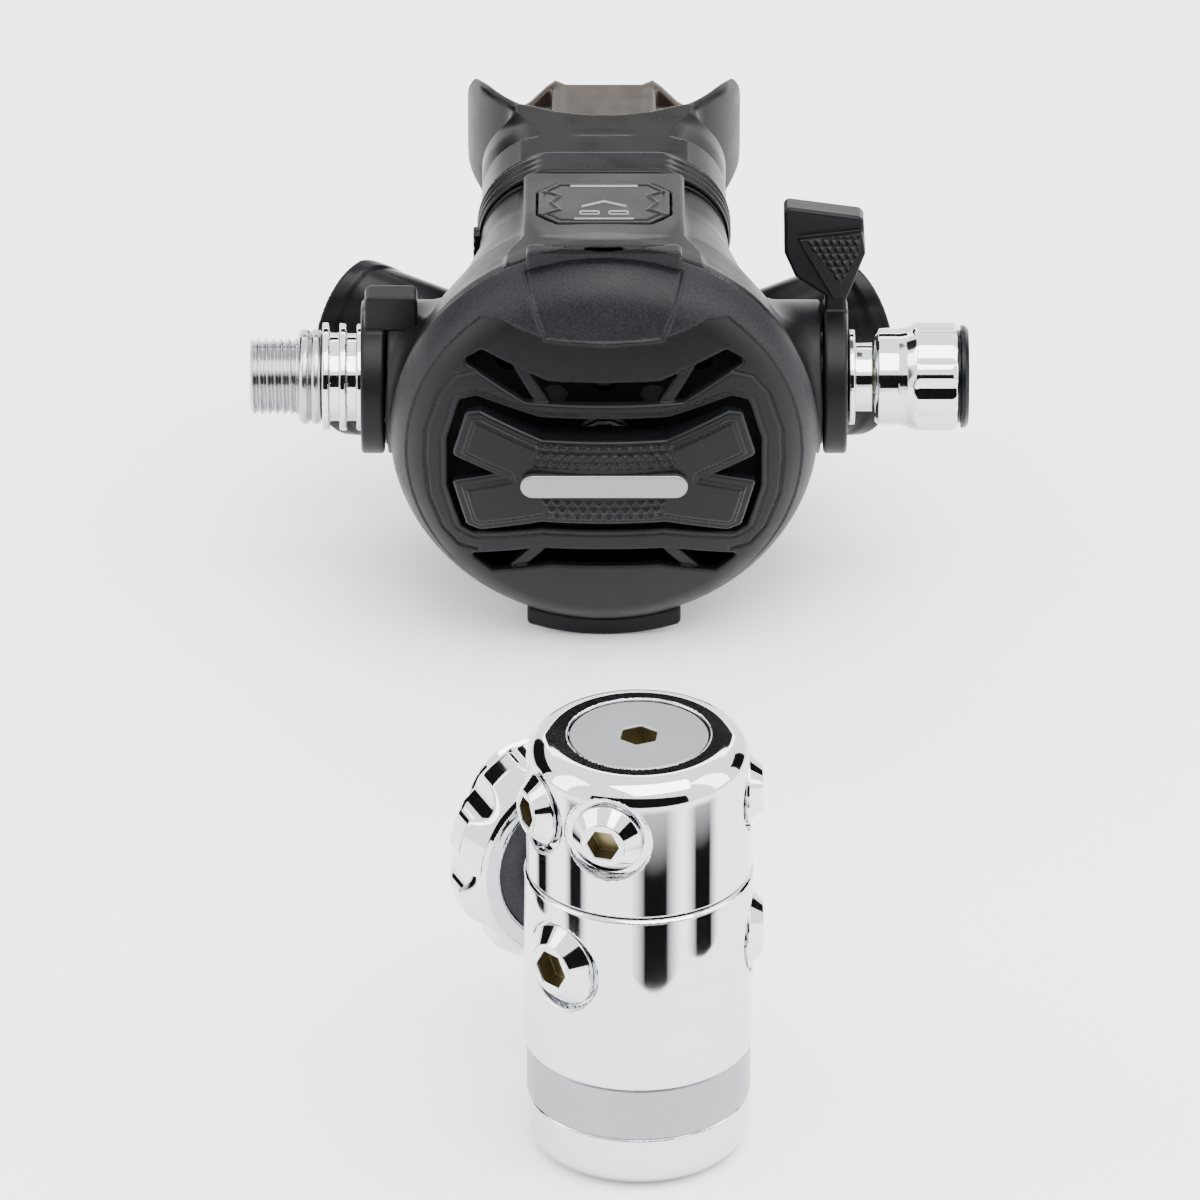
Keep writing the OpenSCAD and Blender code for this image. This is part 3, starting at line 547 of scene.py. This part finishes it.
def case(x, y, z):
    r = length(x, z)
    arm_r = length(y - AXIS_Y, z)
    ax = np.abs(x)
    d = case_2d(r, y)
    d = join(d, meet(arm_r - ARM_R, ax - ARM_X + 0.6, 0.5), 4.0)
    nz = z - NECK_Z
    wide = meet(stadium(x, nz, NECK[0] + 2.1, NECK[1] + 1.4), between(y, 12, 42.4), 0.4)
    d = join(d, wide, 6.0)
    d = meet(d, np.minimum(6.4 - y, r - 37.35))
    ridge_half = 15 + 3 * soft_step(13 - y, 5)
    ridge = meet(poly(y, z, [(6.1, 28), (6.1, 41), (13, 38), (41.8, 34.3), (41.8, 28)]), ax - ridge_half, 1.1)
    d = join(d, meet(ridge, r - 39.8, 0.3), 1.2)
    d = join(d, meet(stadium(x, nz, *NECK), between(y, 20, 56), 0.5))
    dr, da = duct(x, y, z)
    d = join(d, meet(dr - 13.5, between(da, -6, 14), 0.4), 1.0)
    d = cut(d, cavity_2d(r, y), 0.3)
    d = cut(d, arm_r - 8.6, 0.3)
    d = cut(d, meet(stadium(x, nz, NECK[0] - WALL, NECK[1] - WALL), 22 - y), 0.5)
    d = cut(d, meet(dr - 11, between(da, -12, 16)))
    by, bz = turned(y, z, 27.4, 36.1, BADGE_TILT)
    recess = meet(poly(x, by, shrink(BADGE, -0.35)), -1.3 - bz)
    return cut(d, recess, 0.25)


solid("case_shell", case, (-40.5, 3.4, -39.2), (40.5, 56, 39.2), 0.5, SECOND, "second_stage", ["case"],
      CHARCOAL)


def badge(x, y, z):
    by, bz = turned(y, z, 27.4, 36.1, BADGE_TILT)
    d2 = poly(x, by, BADGE)
    ax = np.abs(x)
    relief = 0.25 * np.exp(-((d2 + 1.2) / 0.25) ** 2)
    zigzag = polyline(ax, by, [(11, 5), (8.3, 3.2), (9.8, 0), (8.3, -3.2), (11, -5)])
    relief = relief - 0.25 * np.exp(-(zigzag / 0.35) ** 2)
    return meet(d2, between(bz, -1.2, 0.3) + relief * (bz > -0.5), 0.25)


solid("badge_face", badge, (-12.3, 18, 34), (12.3, 37, 38), 0.22, SECOND, "second_stage", ["badge_plate"],
      TRIM)


def badge_lines(x, y, z):
    by, bz = turned(y, z, 27.4, 36.1, BADGE_TILT)
    ax = np.abs(x)
    top = meet(ax - 6.3, np.abs(by - 7.6) - 0.34)
    low = meet(ax - 5.6, np.abs(by + 7.2) - 0.3)
    chevron = meet(np.abs(by - 0.6 + 0.55 * ax) - 0.42, ax - 4.2)
    bars = np.abs(rbox(ax - 2.7, by + 4.5, 1.7, 0.7, 0.3)) - 0.22
    d2 = np.minimum(np.minimum(top, low), np.minimum(chevron, bars))
    return meet(d2, between(bz, -0.2, 0.42), 0.1)


solid("badge_lines", badge_lines, (-7, 18, 34.8), (7, 37, 37.6), 0.16, SECOND, "second_stage", [],
      SILVER)

# ---------------------------------------------------------------- exhaust tee
FLOOR_GAP = 0.04


def above_floor(y, z):
    """Height above the standing surface, in millimetres, of a point of the second stage."""
    return SECOND_O[2] / MM + y * math.sin(LEAN) + z * math.cos(LEAN)


def tee(x, y, z):
    ax = np.sqrt(x * x + 64) - 8 + 1.5 * soft_step(np.abs(x) - 20, 30)
    t = np.clip(ax / 40, 0, 1)
    cy, cz = 49 + 5 * t, -27 + 16 * t
    a, b = 13.4 - 3.6 * t, 19.7 - 1.1 * t
    u, w = (y - cy - 0.111 * np.maximum(ax - 40, 0)), z - cz

    def tube(inset):
        return (length(u / (a - inset), w / (b - inset)) - 1) * (a - inset)
    plane = (np.abs(x) - 45) * 0.7071 + (y - 54) * 0.7071
    d = meet(cut(tube(0), tube(2.2)), plane - 1, 0.7)
    bead = meet(meet(tube(-0.15), -tube(2.3)), np.abs(plane + 0.6) - 1.6, 0.8)
    d = join(d, bead, 0.6)
    dr, da = duct(x, y, z)
    d = cut(d, meet(dr - 13.9, da - 15))
    r = length(x, z)
    d = cut(d, case_2d(np.maximum(r - 0.5, 0), y) - 0.4)
    d = cut(d, length(y - AXIS_Y, z) - ARM_R - 0.6)
    d = cut(d, stadium(x, z - NECK_Z, NECK[0] + 3.8, NECK[1] + 4.6))
    return meet(d, FLOOR_GAP - above_floor(y, z))


solid("tee_shell", tee, (-54.5, 33, -47), (54.5, 66, 9), 0.45, SECOND, "second_stage", ["exhaust_tee"],
      TRIM)

# ---------------------------------------------------------------- mouthpiece and its clip
LIP_R, LIP_Y, COLLAR_Y = 26.8, 66.4, 42.6
LIP = mirrored([(0, 31.0), (14, 30.6), (22.6, 30.6), (26.4, 26.0), (26.9, 18), (26.0, 9.5), (20.5, 5.0),
                (0, 5.0)])
lip_2d = rounded(LIP, 3.8)
TAB = [(7.6, 12.4), (7.6, 21.6), (9.2, 23.0), (11, 21.6), (16.4, 15.8), (16.6, 12.4)]


def mouthpiece(x, y, z):
    nz = z - NECK_Z
    ax = np.abs(x)
    sleeve = meet(stadium(x, nz, NECK[0] + 2.2, NECK[1] + 2), between(y, COLLAR_Y, 60), 0.6)
    grow = 1.2 * soft_step(y - 62, 8)
    throat = meet(stadium(x, nz, NECK[0] + 1.0 + grow, NECK[1] + 1), between(y, 52, 70), 0.4)
    d = join(sleeve, throat, 1.5)
    arc_r = length(x, y - (LIP_Y + LIP_R))
    plate = meet(between(arc_r, LIP_R - 2.2, LIP_R), meet(lip_2d(x, z), y - (LIP_Y + LIP_R) + 6), 0.9)
    d = join(d, plate, 4.5)
    d = meet(d, meet(LIP_R - 2.4 - arc_r, lip_2d(x, z) - 0.2, 0.3))
    inner = meet(stadium(x, nz, NECK[0] + 0.1, NECK[1] + 0.1), y - 56.1)
    d = cut(d, inner)
    bore = meet(stadium(x, nz, NECK[0] - WALL, NECK[1] - WALL), 56 - y)
    d = cut(d, bore, 0.6)
    tabs = meet(between(z, 15, 17.4), meet(between(ax, 8, 16.6), between(y, 68, 95.6), 0.6), 0.7)
    lugs = meet(poly(ax, z, TAB), between(y, 93.8, 96.2), 0.8)
    web = meet(between(ax, 7.8, 9.8), meet(between(y, 76, 95.6), between(z, 16, 22.2), 0.5), 0.6)
    sheet = meet(between(z - 0.02 * (y - 76), 20.2, 21.9), meet(ax - 9.2, between(y, 73, 95.4), 0.4), 0.5)
    inside = join(join(join(tabs, lugs, 1.2), web, 0.8), sheet, 0.9)
    return join(d, inside, 0.8)


def mouth_paint(x, y, z):
    return np.where(length(x, y - (LIP_Y + LIP_R)) < LIP_R - 2.5, 1, 0) * (y > 70)


solid("mouth_rubber", mouthpiece, (-26.6, 42.5, 5), (26.6, 96.5, 33.4), 0.42, SECOND, "second_stage",
      ["mouthpiece"], SILICONE, mouth_paint, [THIN])


def clip(x, y, z):
    nz = z - NECK_Z
    ax = np.abs(x)
    side = soft_step(ax - 13.5, 5)
    ribs = 0.42 * side * (0.5 - 0.5 * np.cos((y - 43.2) * 2 * math.pi / 1.9))
    band = meet(stadium(x, nz, NECK[0] + 3.4, NECK[1] + 3.9) + ribs + 0.35 * side, between(y, 43.2, 50.8), 0.9)
    teeth = 0.45 * np.abs(np.mod(z, 1.7) / 1.7 - 0.5)
    buckle = meet(meet(between(x, -24.6, -21.5) + teeth, between(z, 12.5, 20)), between(y, 42.9, 46.4), 0.4)
    d = join(band, buckle, 0.3)
    return cut(d, stadium(x, nz, NECK[0] + 2.25, NECK[1] + 2.05), 0.2)


solid("clip_band", clip, (-24.7, 43, 4), (24.3, 51, 34), 0.3, SECOND, "second_stage", ["mouthpiece_clip"],
      TRIM)

# ---------------------------------------------------------------- venturi lever and blanking block
PADDLE = [(41.2, 10), (45.4, 10), (45.2, 17), (48.7, 26), (48.4, 31.8), (47.6, 32.6), (34.2, 34.4), (33.5, 33.6),
          (33.6, 25.4), (35.6, 20.8), (41.2, 17)]
PAD = [(36, 28.6), (48.1, 30), (48.7, 26), (45.2, 17), (42.6, 17)]
paddle_2d, pad_2d = rounded(PADDLE, 0.6), rounded(PAD, 0.4)
GRIP = [(37.4, 28.9), (47.6, 29.7), (47.6, 26.4), (44, 20)]
LEVER_TILT = math.radians(12)


def venturi(x, y, z):
    arm_r = length(y - AXIS_Y, z)
    d = meet(arm_r - ARM_R, between(x, ARM_X, ARM_X + 4.4), 0.7)
    d = join(d, meet(arm_r - 8.3, between(x, ARM_X - 20, ARM_X + 1)))
    ty, tz = turned(y, z, AXIS_Y, 0, LEVER_TILT)
    blade = meet(paddle_2d(x, tz), between(ty, -3.2, 3.2), 0.7)
    raised = (poly(x, tz, GRIP) < 0) * pyramids(x - 0.2, 30.2 - tz, 1.42, 1.36, 0.5)
    face = meet(pad_2d(x, tz), between(ty, -5, -2) - raised * (ty < -3.5), 0.35)
    d = join(d, join(blade, face, 0.25), 0.7)
    return cut(d, arm_r - 6.8)


solid("lever_paddle", venturi, (21, 10, -14.4), (49, 40, 35.2), 0.27, SECOND, "venturi", ["venturi_lever"],
      CHARCOAL)


def blanking(x, y, z):
    arm_r = length(y - AXIS_Y, z)
    d = meet(arm_r - ARM_R, between(x, -ARM_X - 4.4, -ARM_X), 0.7)
    d = join(d, meet(rbox(x + 39.7, z - 15.2, 4.9, 5.2, 1.2), between(y, 19.5, 24.5), 0.5), 0.8)
    d = cut(d, meet(arm_r - 10.6, x + ARM_X + 2), 0.3)
    d = cut(d, arm_r - 8.5)
    return cut(d, meet(arm_r - ARM_R - 0.1, -(x + ARM_X - 0.05)))


solid("blank_block", blanking, (-45.5, 10.5, -14.5), (-34.5, 39.5, 20.5), 0.35, SECOND, "second_stage",
      ["blanking_plug"], CHARCOAL)

# ---------------------------------------------------------------- inlet, fins, gland and knob: turned about X
fins_2d = profile([(0, 0), (10.1, 0), (10.1, 1.35), (8.3, 1.35), (8.3, 3.2), (10.1, 3.2), (10.1, 4.55),
                   (8.3, 4.55), (8.3, 6.4), (10.1, 6.4), (10.1, 7.75), (8.3, 7.75), (8.3, 11.9), (0, 11.9)], 0.3)


def fins(x, y, z):
    arm_r = length(y - AXIS_Y, z)
    return cut(fins_2d(arm_r, x + 52.65), arm_r - 6.6)


solid("exchanger_fins", fins, (-52.7, 14.8, -10.2), (-40.7, 35.2, 10.2), 0.24, SECOND, "second_stage",
      ["heat_exchanger"], CHROME)

INLET_R, INLET_PITCH, INLET_DEPTH = 7.144, 1.411, 0.78


def helix(radius, along, angle, pitch, depth):
    """The distance that a V thread cuts into a rod."""
    phase = along / pitch - angle / (2 * math.pi)
    return depth * (1 - 2 * np.abs(phase - np.floor(phase) - 0.5)) * 0.9 + radius * 0


def inlet(x, y, z):
    arm_r = length(y - AXIS_Y, z)
    angle = np.arctan2(z, y - AXIS_Y)
    rod = arm_r - INLET_R + helix(arm_r, x, angle, INLET_PITCH, INLET_DEPTH) * (x < -57.6)
    d = meet(rod, between(x, -66.2, -56.8), 0.7)
    for centre in (-56.0, -53.85):
        ring = length(np.maximum(arm_r - 7.85, 0), x - centre) - 1.1
        d = join(d, ring, 0.15)
    d = join(d, meet(arm_r - 7.4, between(x, -57, -52.8)))
    d = join(d, meet(arm_r - 6.5, between(x, -53, -40.6), 0.3))
    d = cut(d, meet(arm_r - 5.2, x + 60), 0.3)
    return cut(d, arm_r - 4.2)


solid("inlet_thread", inlet, (-66.3, 15.9, -9), (-40.5, 34.1, 9), 0.2, SECOND, "second_stage",
      ["inlet_fitting"], INLET)


def gland(x, y, z):
    arm_r = length(y - AXIS_Y, z)
    d = meet(arm_r - 6.5, between(x, ARM_X - 0.3, ARM_X + 9.3), 0.3)
    d = join(d, meet(arm_r - 9, between(x, 45.7, 46.9), 0.3), 0.2)
    return cut(d, arm_r - 3.27)


solid("gland_ring", gland, (40.6, 15.9, -9.1), (50.4, 34.1, 9.1), 0.22, SECOND, "second_stage",
      ["adjusting_gland"], CHROME)

knob_2d = profile([(0, 0), (8.3, 0), (9.05, 0.7), (9.05, 4.4), (9.4, 6), (10.25, 7.8), (10.25, 14.6),
                   (9.8, 15.5), (0, 15.5)], 0.3)


def knob(x, y, z):
    arm_r = length(y - AXIS_Y, z)
    d = knob_2d(arm_r, x - 50.6)
    step = math.radians(36)
    angle = np.arctan2(z, y - AXIS_Y)
    local = np.mod(angle, step) - step / 2
    flute = length(arm_r * np.cos(local) - 12.6, arm_r * np.sin(local)) - 2.9
    d = cut(d, meet(flute, 57.8 - x, 1.2), 0.5)
    d = cut(d, meet(arm_r - 6.9, x - 55), 0.3)
    d = cut(d, arm_r - 3.25)
    return cut(d, meet(arm_r - 8.8, 64.3 - x))


solid("knob_grip", knob, (50.5, 14.7, -10.3), (66.2, 35.3, 10.3), 0.2, SECOND, "adjuster", ["adjusting_knob"],
      CHROME)
cap_2d = profile([(0, 64.4), (8.7, 64.4), (8.7, 66.7), (9.7, 66.7), (9.6, 67.5), (8.9, 68.2), (0, 68.2)], 0.2)
solid("knob_end", lambda x, y, z: cap_2d(length(y - AXIS_Y, z), x),
      (64.3, 15.2, -9.8), (68.3, 34.8, 9.8), 0.24, SECOND, "adjuster", ["knob_cap"], TRIM)

# ---------------------------------------------------------------- first stage
DIN_Z, PORT_FACE, LP_Z, TURRET_Z, TOP_Z = 42.4, 18.1, 70.0, 54.7, 80.7
LP_PORT_R, GAUGE_PORT_R = 4.76, 5.556
DIN_R, DIN_PITCH, DIN_DEPTH = 11.45, 1.814, 1.0
GAUGE_ANGLES, LP_ANGLES = (-68, 68), (-89, -40, 67.5, 116)


def port_coords(x, y, z, angle, height):
    """Distance outwards along a port's axis, and the two coordinates across it."""
    a = math.radians(angle)
    ox, oy = math.sin(a), -math.cos(a)
    return x * ox + y * oy, x * oy - y * ox, z - height


body_2d = profile([(0, 20.5), (19.6, 20.5), (20, 20.9), (20, 54.1), (19.5, 54.6), (0, 54.6)], 0.3)


def body(x, y, z):
    r = length(x, y)
    d = body_2d(r, z)
    d = join(d, meet(length(x, z - DIN_Z) - 11.6, between(y, 0, 23.4), 0.4), 1.0)
    d = cut(d, meet(r - 17.2, z - 24))
    d = cut(d, meet(r - 5.4, 30.4 - z))
    d = cut(d, meet(r - 10, between(z, 22, 27)))
    d = cut(d, meet(r - 2.2, between(z, 20, 32)))
    d = cut(d, meet(length(x, z - DIN_Z) - 3, 4.4 - y))
    d = cut(d, meet(r - 7.95, 47 - z), 0.2)
    d = cut(d, meet(length(x, z - DIN_Z) - 7.05, 13 - y))
    for a in GAUGE_ANGLES:
        out, u, w = port_coords(x, y, z, a, DIN_Z)
        d = cut(d, meet(length(u, w) - 8.1, PORT_FACE - out), 0.35)
        d = cut(d, meet(length(u, w) - GAUGE_PORT_R, 8 - out))
    return d


solid("body_shell", body, (-20.1, -20.1, 20.4), (20.1, 23.5, 54.7), 0.36, FIRST, "first_stage", ["body"],
      CHROME)
turret_2d = profile([(0, 0), (19.1, 0), (19.6, 0.5)] + arc(14.6, 21, 5, 0, 90, 60) + [(0, 26)], 0.2)


def turret(x, y, z):
    r = length(x, y)
    d = turret_2d(r, z - TURRET_Z)
    d = cut(d, r - 8)
    d = cut(d, meet(r - 12.4, TOP_Z - 2.6 - z), 0.2)
    for a in LP_ANGLES:
        out, u, w = port_coords(x, y, z, a, LP_Z)
        d = cut(d, meet(length(u, w) - 7.6, PORT_FACE - out), 0.35)
        d = cut(d, meet(length(u, w) - LP_PORT_R, 9.5 - out), 0.3)
    return d


solid("turret_shell", turret, (-19.7, -19.7, 54.6), (19.7, 19.7, 80.8), 0.34, FIRST, "turret", ["turret"],
      CHROME)


def bolt(x, y, z):
    r = length(x, y)
    d = meet(r - 12.1, between(z, TOP_Z - 2.4, TOP_Z - 0.2), 0.3)
    d = join(d, meet(r - 7.75, between(z, 47.2, TOP_Z - 2)))
    d = cut(d, meet(hexagon(x, y, 6), TOP_Z - 5 - z), 0.25)
    return cut(d, meet(r - 4.5, z - 73))


solid("bolt_disc", bolt, (-12.2, -12.2, 47), (12.2, 12.2, 80.7), 0.28, FIRST, "first_stage", ["turret_bolt"],
      SATIN,
      lambda x, y, z: np.where((hexagon(x, y, 6.3) < 0) & (z < TOP_Z - 0.7) & (z > 74), 1, 0), [BRASS])


def plugs(angles, height, thread_r, thread_h, head_r, head_h, af):
    head_2d = profile([(0, 0.05), (head_r - 0.5, 0.05), (head_r, 0.5), (head_r, 1.0), (head_r * 0.62, head_h),
                       (0, head_h)], 0.25)

    def f(x, y, z):
        whole = None
        for a in angles:
            out, u, w = port_coords(x, y, z, a, height)
            out = out - PORT_FACE
            r = length(u, w)
            d = join(head_2d(r, out), meet(r - thread_r, between(out, -thread_h, 0.5), 0.3))
            d = cut(d, meet(hexagon(u, w, af), head_h - 3.2 - out), 0.25)
            whole = d if whole is None else np.minimum(whole, d)
        return whole

    def paint(x, y, z):
        inside = np.zeros(x.shape, bool)
        for a in angles:
            out, u, w = port_coords(x, y, z, a, height)
            inside |= (hexagon(u, w, af + 0.3) < 0) & (out > PORT_FACE) & (out < PORT_FACE + head_h - 0.4)
        return np.where(inside, 1, 0)
    return f, paint


f, paint = plugs(LP_ANGLES[:3], LP_Z, 4.7, 7.6, 6.3, 3.4, 5)
solid("lp_plug_heads", f, (-22, -22, 63), (22, 22, 77), 0.22, FIRST, "turret", ["lp_plugs"], CHROME,
      paint, [BRASS])
f, paint = plugs(GAUGE_ANGLES, DIN_Z, 5.49, 8.6, 7.5, 3.6, 6)
solid("gauge_plug_heads", f, (-22, -13, 34), (22, 3, 51), 0.24, FIRST, "first_stage", ["gauge_plugs"],
      CHROME, paint, [BRASS])
clamp_2d = profile([(0, 10.6), (19.6, 10.6), (19.6, 20.4), (0, 20.4)], 0.25)


def clamp(x, y, z):
    r = length(x, y)
    d = join(clamp_2d(r, z), meet(r - 16.4, between(z, 6.5, 11)))
    return cut(d, r - 12)


solid("clamp_ring", clamp, (-19.7, -19.7, 6.4), (19.7, 19.7, 20.5), 0.34, FIRST, "first_stage",
      ["diaphragm_clamp"], SATIN)
foot_2d = profile([(0, 0)] + arc(14.9, 4.5, 4.5, -90, 0, 60) + [(19.4, 10.1), (19, 10.5), (0, 10.5)], 0.2)


def foot(x, y, z):
    r = length(x, y)
    d = cut(foot_2d(r, z), meet(r - 16.5, 2.4 - z))
    return cut(d, r - 11.5)


solid("cap_shell", foot, (-19.5, -19.5, 0), (19.5, 19.5, 10.6), 0.34, FIRST, "first_stage",
      ["environmental_cap"], CHROME)

wheel_2d = profile([(7.07, 4), (15.6, 4), (15.6, 0.4), (16, 0), (18.6, 0), (19.4, 0.6), (22, 5), (22, 9.4),
                    (20.6, 12), (7.07, 12)], 0.3)


def wheel(x, y, z):
    rad = length(x, z - DIN_Z)
    t = y - 24.6
    d = meet(wheel_2d(rad, t), 7.07 - rad)
    step = math.radians(36)
    angle = np.arctan2(z - DIN_Z, x)
    local = np.mod(angle + step / 2, step) - step / 2
    scallop = length(rad * np.cos(local) - 25.2, rad * np.sin(local)) - 5
    return cut(d, scallop, 0.6)


solid("wheel_rim", wheel, (-22.1, 24.5, 20.3), (22.1, 36.7, 64.5), 0.36, FIRST, "handwheel", ["din_handwheel"],
      CHROME)


def connector(x, y, z):
    rad = length(x, z - DIN_Z)
    angle = np.arctan2(x, z - DIN_Z)
    rod = rad - DIN_R + helix(rad, y, angle, DIN_PITCH, DIN_DEPTH) * (y > 38)
    return cut(meet(rod, between(y, 36.75, 51.3), 0.6), rad - 8.6, 0.2)


solid("din_screw", connector, (-11.5, 36.7, 30.9), (11.5, 51.4, 53.9), 0.26, FIRST, "handwheel", ["din_thread"],
      CHROME)

# ---------------------------------------------------------------- finishes of the CAD pieces that are kept
KEPT = {
    "purge_spring": WIRE, "diaphragm_cover": RUBBER, "diaphragm": GREY_RUBBER, "diaphragm_plate": INSET,
    "demand_lever": WIRE, "valve_barrel": CHROME, "valve_orifice": BRASS, "poppet": IVORY, "poppet_seat": RUBBER,
    "poppet_spring": WIRE, "lever_nut": BLUE, "spring_pad": IVORY, "adjusting_screw": BRASS, "venturi_vane": TRIM,
    "exhaust_valve": GREY_RUBBER, "tee_clip": TRIM, "second_stage_orings": RUBBER, "turret_orings": RUBBER,
    "main_seat": BRASS, "main_valve": IVORY, "main_valve_spring": WIRE, "balance_plug": BRASS, "valve_lifter": WIRE,
    "main_diaphragm": GREY_RUBBER, "main_spring": WIRE, "spring_button": WIRE, "spring_adjuster": BRASS,
    "load_transmitter": IVORY, "environmental_diaphragm": GREY_RUBBER, "din_stem": CHROME,
    "handwheel_inset": INSET, "din_filter": SINTER, "filter_clip": WIRE, "din_oring": RUBBER,
}
for node, material in KEPT.items():
    obj = frame["nodes"][node]
    obj.data.materials.clear()
    obj.data.materials.append(material)

# ---------------------------------------------------------------- floor, lights and camera


def floor_material():
    n = Nodes("pale_floor")
    n.colours(n.noise(6.0, 4.0), (0.93, 0.93, 0.932), (0.955, 0.955, 0.955))
    n.rough(n.remap(n.noise(20.0, 4.0), 0.55, 0.65))
    return n.mat


def level_axes(normal):
    """The level direction and the upward one of a sheet that faces along the normal."""
    u = np.cross([0, 0, 1], normal)
    u = u / np.linalg.norm(u) if np.linalg.norm(u) > 1e-6 else np.array([1.0, 0, 0])
    return u, np.cross(normal, u)


def sheet_object(name, material, centre, size, normal):
    u, v = level_axes(normal)
    c = np.array(centre, float)
    pts = [c + sx * u * size[0] / 2 + sy * v * size[1] / 2 for sx, sy in ((-1, -1), (1, -1), (1, 1), (-1, 1))]
    mesh = bpy.data.meshes.new(name)
    mesh.from_pydata([tuple(p) for p in pts], [], [(0, 1, 2, 3)])
    mesh.uv_layers.new(name="card")
    for corner, uv in zip(mesh.uv_layers[0].data, ((0, 0), (1, 0), (1, 1), (0, 1))):
        corner.uv = uv
    mesh.materials.append(material)
    obj = bpy.data.objects.new(name, mesh)
    bpy.context.scene.collection.objects.link(obj)
    return obj


def card_material(name, value, soft):
    """A dull black card whose sides and top fade away over the given share of its width."""
    n = Nodes(name)
    n.colours(n.noise(3.0), (value, value, value), (value * 1.05, value * 1.05, value * 1.05))
    n.shader.inputs["Roughness"].default_value = 1.0
    n.shader.inputs["Specular IOR Level"].default_value = 0.0
    if soft:
        split = n.tree.nodes.new("ShaderNodeSeparateXYZ")
        n.link(n.tree.nodes.new("ShaderNodeTexCoord").outputs["UV"], split.inputs[0])
        left = n.remap(split.outputs[0], 0.0, 1.0, 0.0, soft)
        right = n.remap(split.outputs[0], 1.0, 0.0, 1.0 - soft, 1.0)
        top = n.remap(split.outputs[1], 1.0, 0.0, 0.35, 1.0)
        seen = left
        for other in (right, top):
            product = n.tree.nodes.new("ShaderNodeMath")
            product.operation = "MULTIPLY"
            n.link(seen, product.inputs[0])
            n.link(other, product.inputs[1])
            seen = product.outputs[0]
        n.link(seen, n.shader.inputs["Alpha"])
    return n.mat


sheet_object("floor", floor_material(), (0, 0, 0), (8, 8), (0, 0, 1))
DARK, SOFT = card_material("dark_card", 0.004, 0), card_material("soft_card", 0.004, 0.3)


def card(name, centre, size, target, material):
    """A dark sheet that only the shiny surfaces see."""
    to = np.array(target, float) - np.array(centre, float)
    obj = sheet_object(name, material, centre, size, to / np.linalg.norm(to))
    obj.visible_camera = False
    obj.visible_diffuse = False
    obj.visible_shadow = False


FIRST_X, FIRST_Y = FIRST_O[0], FIRST_O[1]
# Cards that stand round the first stage: name, degrees right of the camera, distance, width and height.
STANDING_CARDS = (("card_near", 15.0, 0.088, 0.074, 0.066), ("card_side", 62.0, 0.095, 0.062, 0.062),
                  ("card_left", -62.0, 0.10, 0.046, 0.062), ("card_far", -108.0, 0.10, 0.05, 0.06))
for name, azimuth, reach, width, height in STANDING_CARDS:
    a = math.radians(azimuth)
    middle = height / 2 + 0.001
    card(name, (FIRST_X + reach * math.sin(a), FIRST_Y - reach * math.cos(a), middle), (width, height),
         (FIRST_X, FIRST_Y, middle), SOFT)
card("card_front", (0.0, -1.25, 0.43), (2.6, 0.82), (0, 0, 0.43), DARK)
card("card_back_left", (-0.75, 0.5, 0.33), (0.8, 0.5), (FIRST_X, FIRST_Y, 0.05), DARK)
card("card_back_right", (0.8, 0.45, 0.30), (0.35, 0.45), (FIRST_X, FIRST_Y, 0.05), DARK)
card("card_top", (0.0, 0.9, 0.64), (0.8, 0.25), (FIRST_X, FIRST_Y, 0.08), DARK)


def area(name, centre, size, power, target=(0, 0, 0.04)):
    data = bpy.data.lights.new(name, "AREA")
    data.shape = "RECTANGLE"
    data.size, data.size_y = size
    data.energy = power
    obj = bpy.data.objects.new(name, data)
    to = np.array(target, float) - np.array(centre, float)
    to = to / np.linalg.norm(to)
    z = -to
    x, y = level_axes(z)
    m = Matrix.Identity(4)
    for i in range(3):
        m[i][0], m[i][1], m[i][2], m[i][3] = x[i], y[i], z[i], centre[i]
    obj.matrix_world = m
    obj.visible_camera = False
    bpy.context.scene.collection.objects.link(obj)


area("key", (0.25, -0.5, 1.3), (1.2, 1.0), 30)
area("left_strip", (-1.1, -0.2, 0.7), (0.5, 1.2), 9)
area("right_strip", (1.1, -0.1, 0.7), (0.5, 1.2), 9)
area("back", (0, 1.2, 0.9), (1.4, 0.6), 10)
world = bpy.data.worlds.new("pale")
world.use_nodes = True
world.node_tree.nodes["Background"].inputs["Color"].default_value = (1, 1, 1, 1)
world.node_tree.nodes["Background"].inputs["Strength"].default_value = 2.6
bpy.context.scene.world = world

camera_data = bpy.data.cameras.new("camera")
camera_data.sensor_width = 36
camera_data.lens = 411
camera = bpy.data.objects.new("camera", camera_data)
bpy.context.scene.collection.objects.link(camera)
elevation, distance, target = math.radians(28.5), 2.5, (-0.00175, 0.0, 0.0387)
camera.location = (target[0], target[1] - distance * math.cos(elevation),
                   target[2] + distance * math.sin(elevation))
camera.rotation_euler = (math.pi / 2 - elevation, 0, 0)
bpy.context.scene.camera = camera
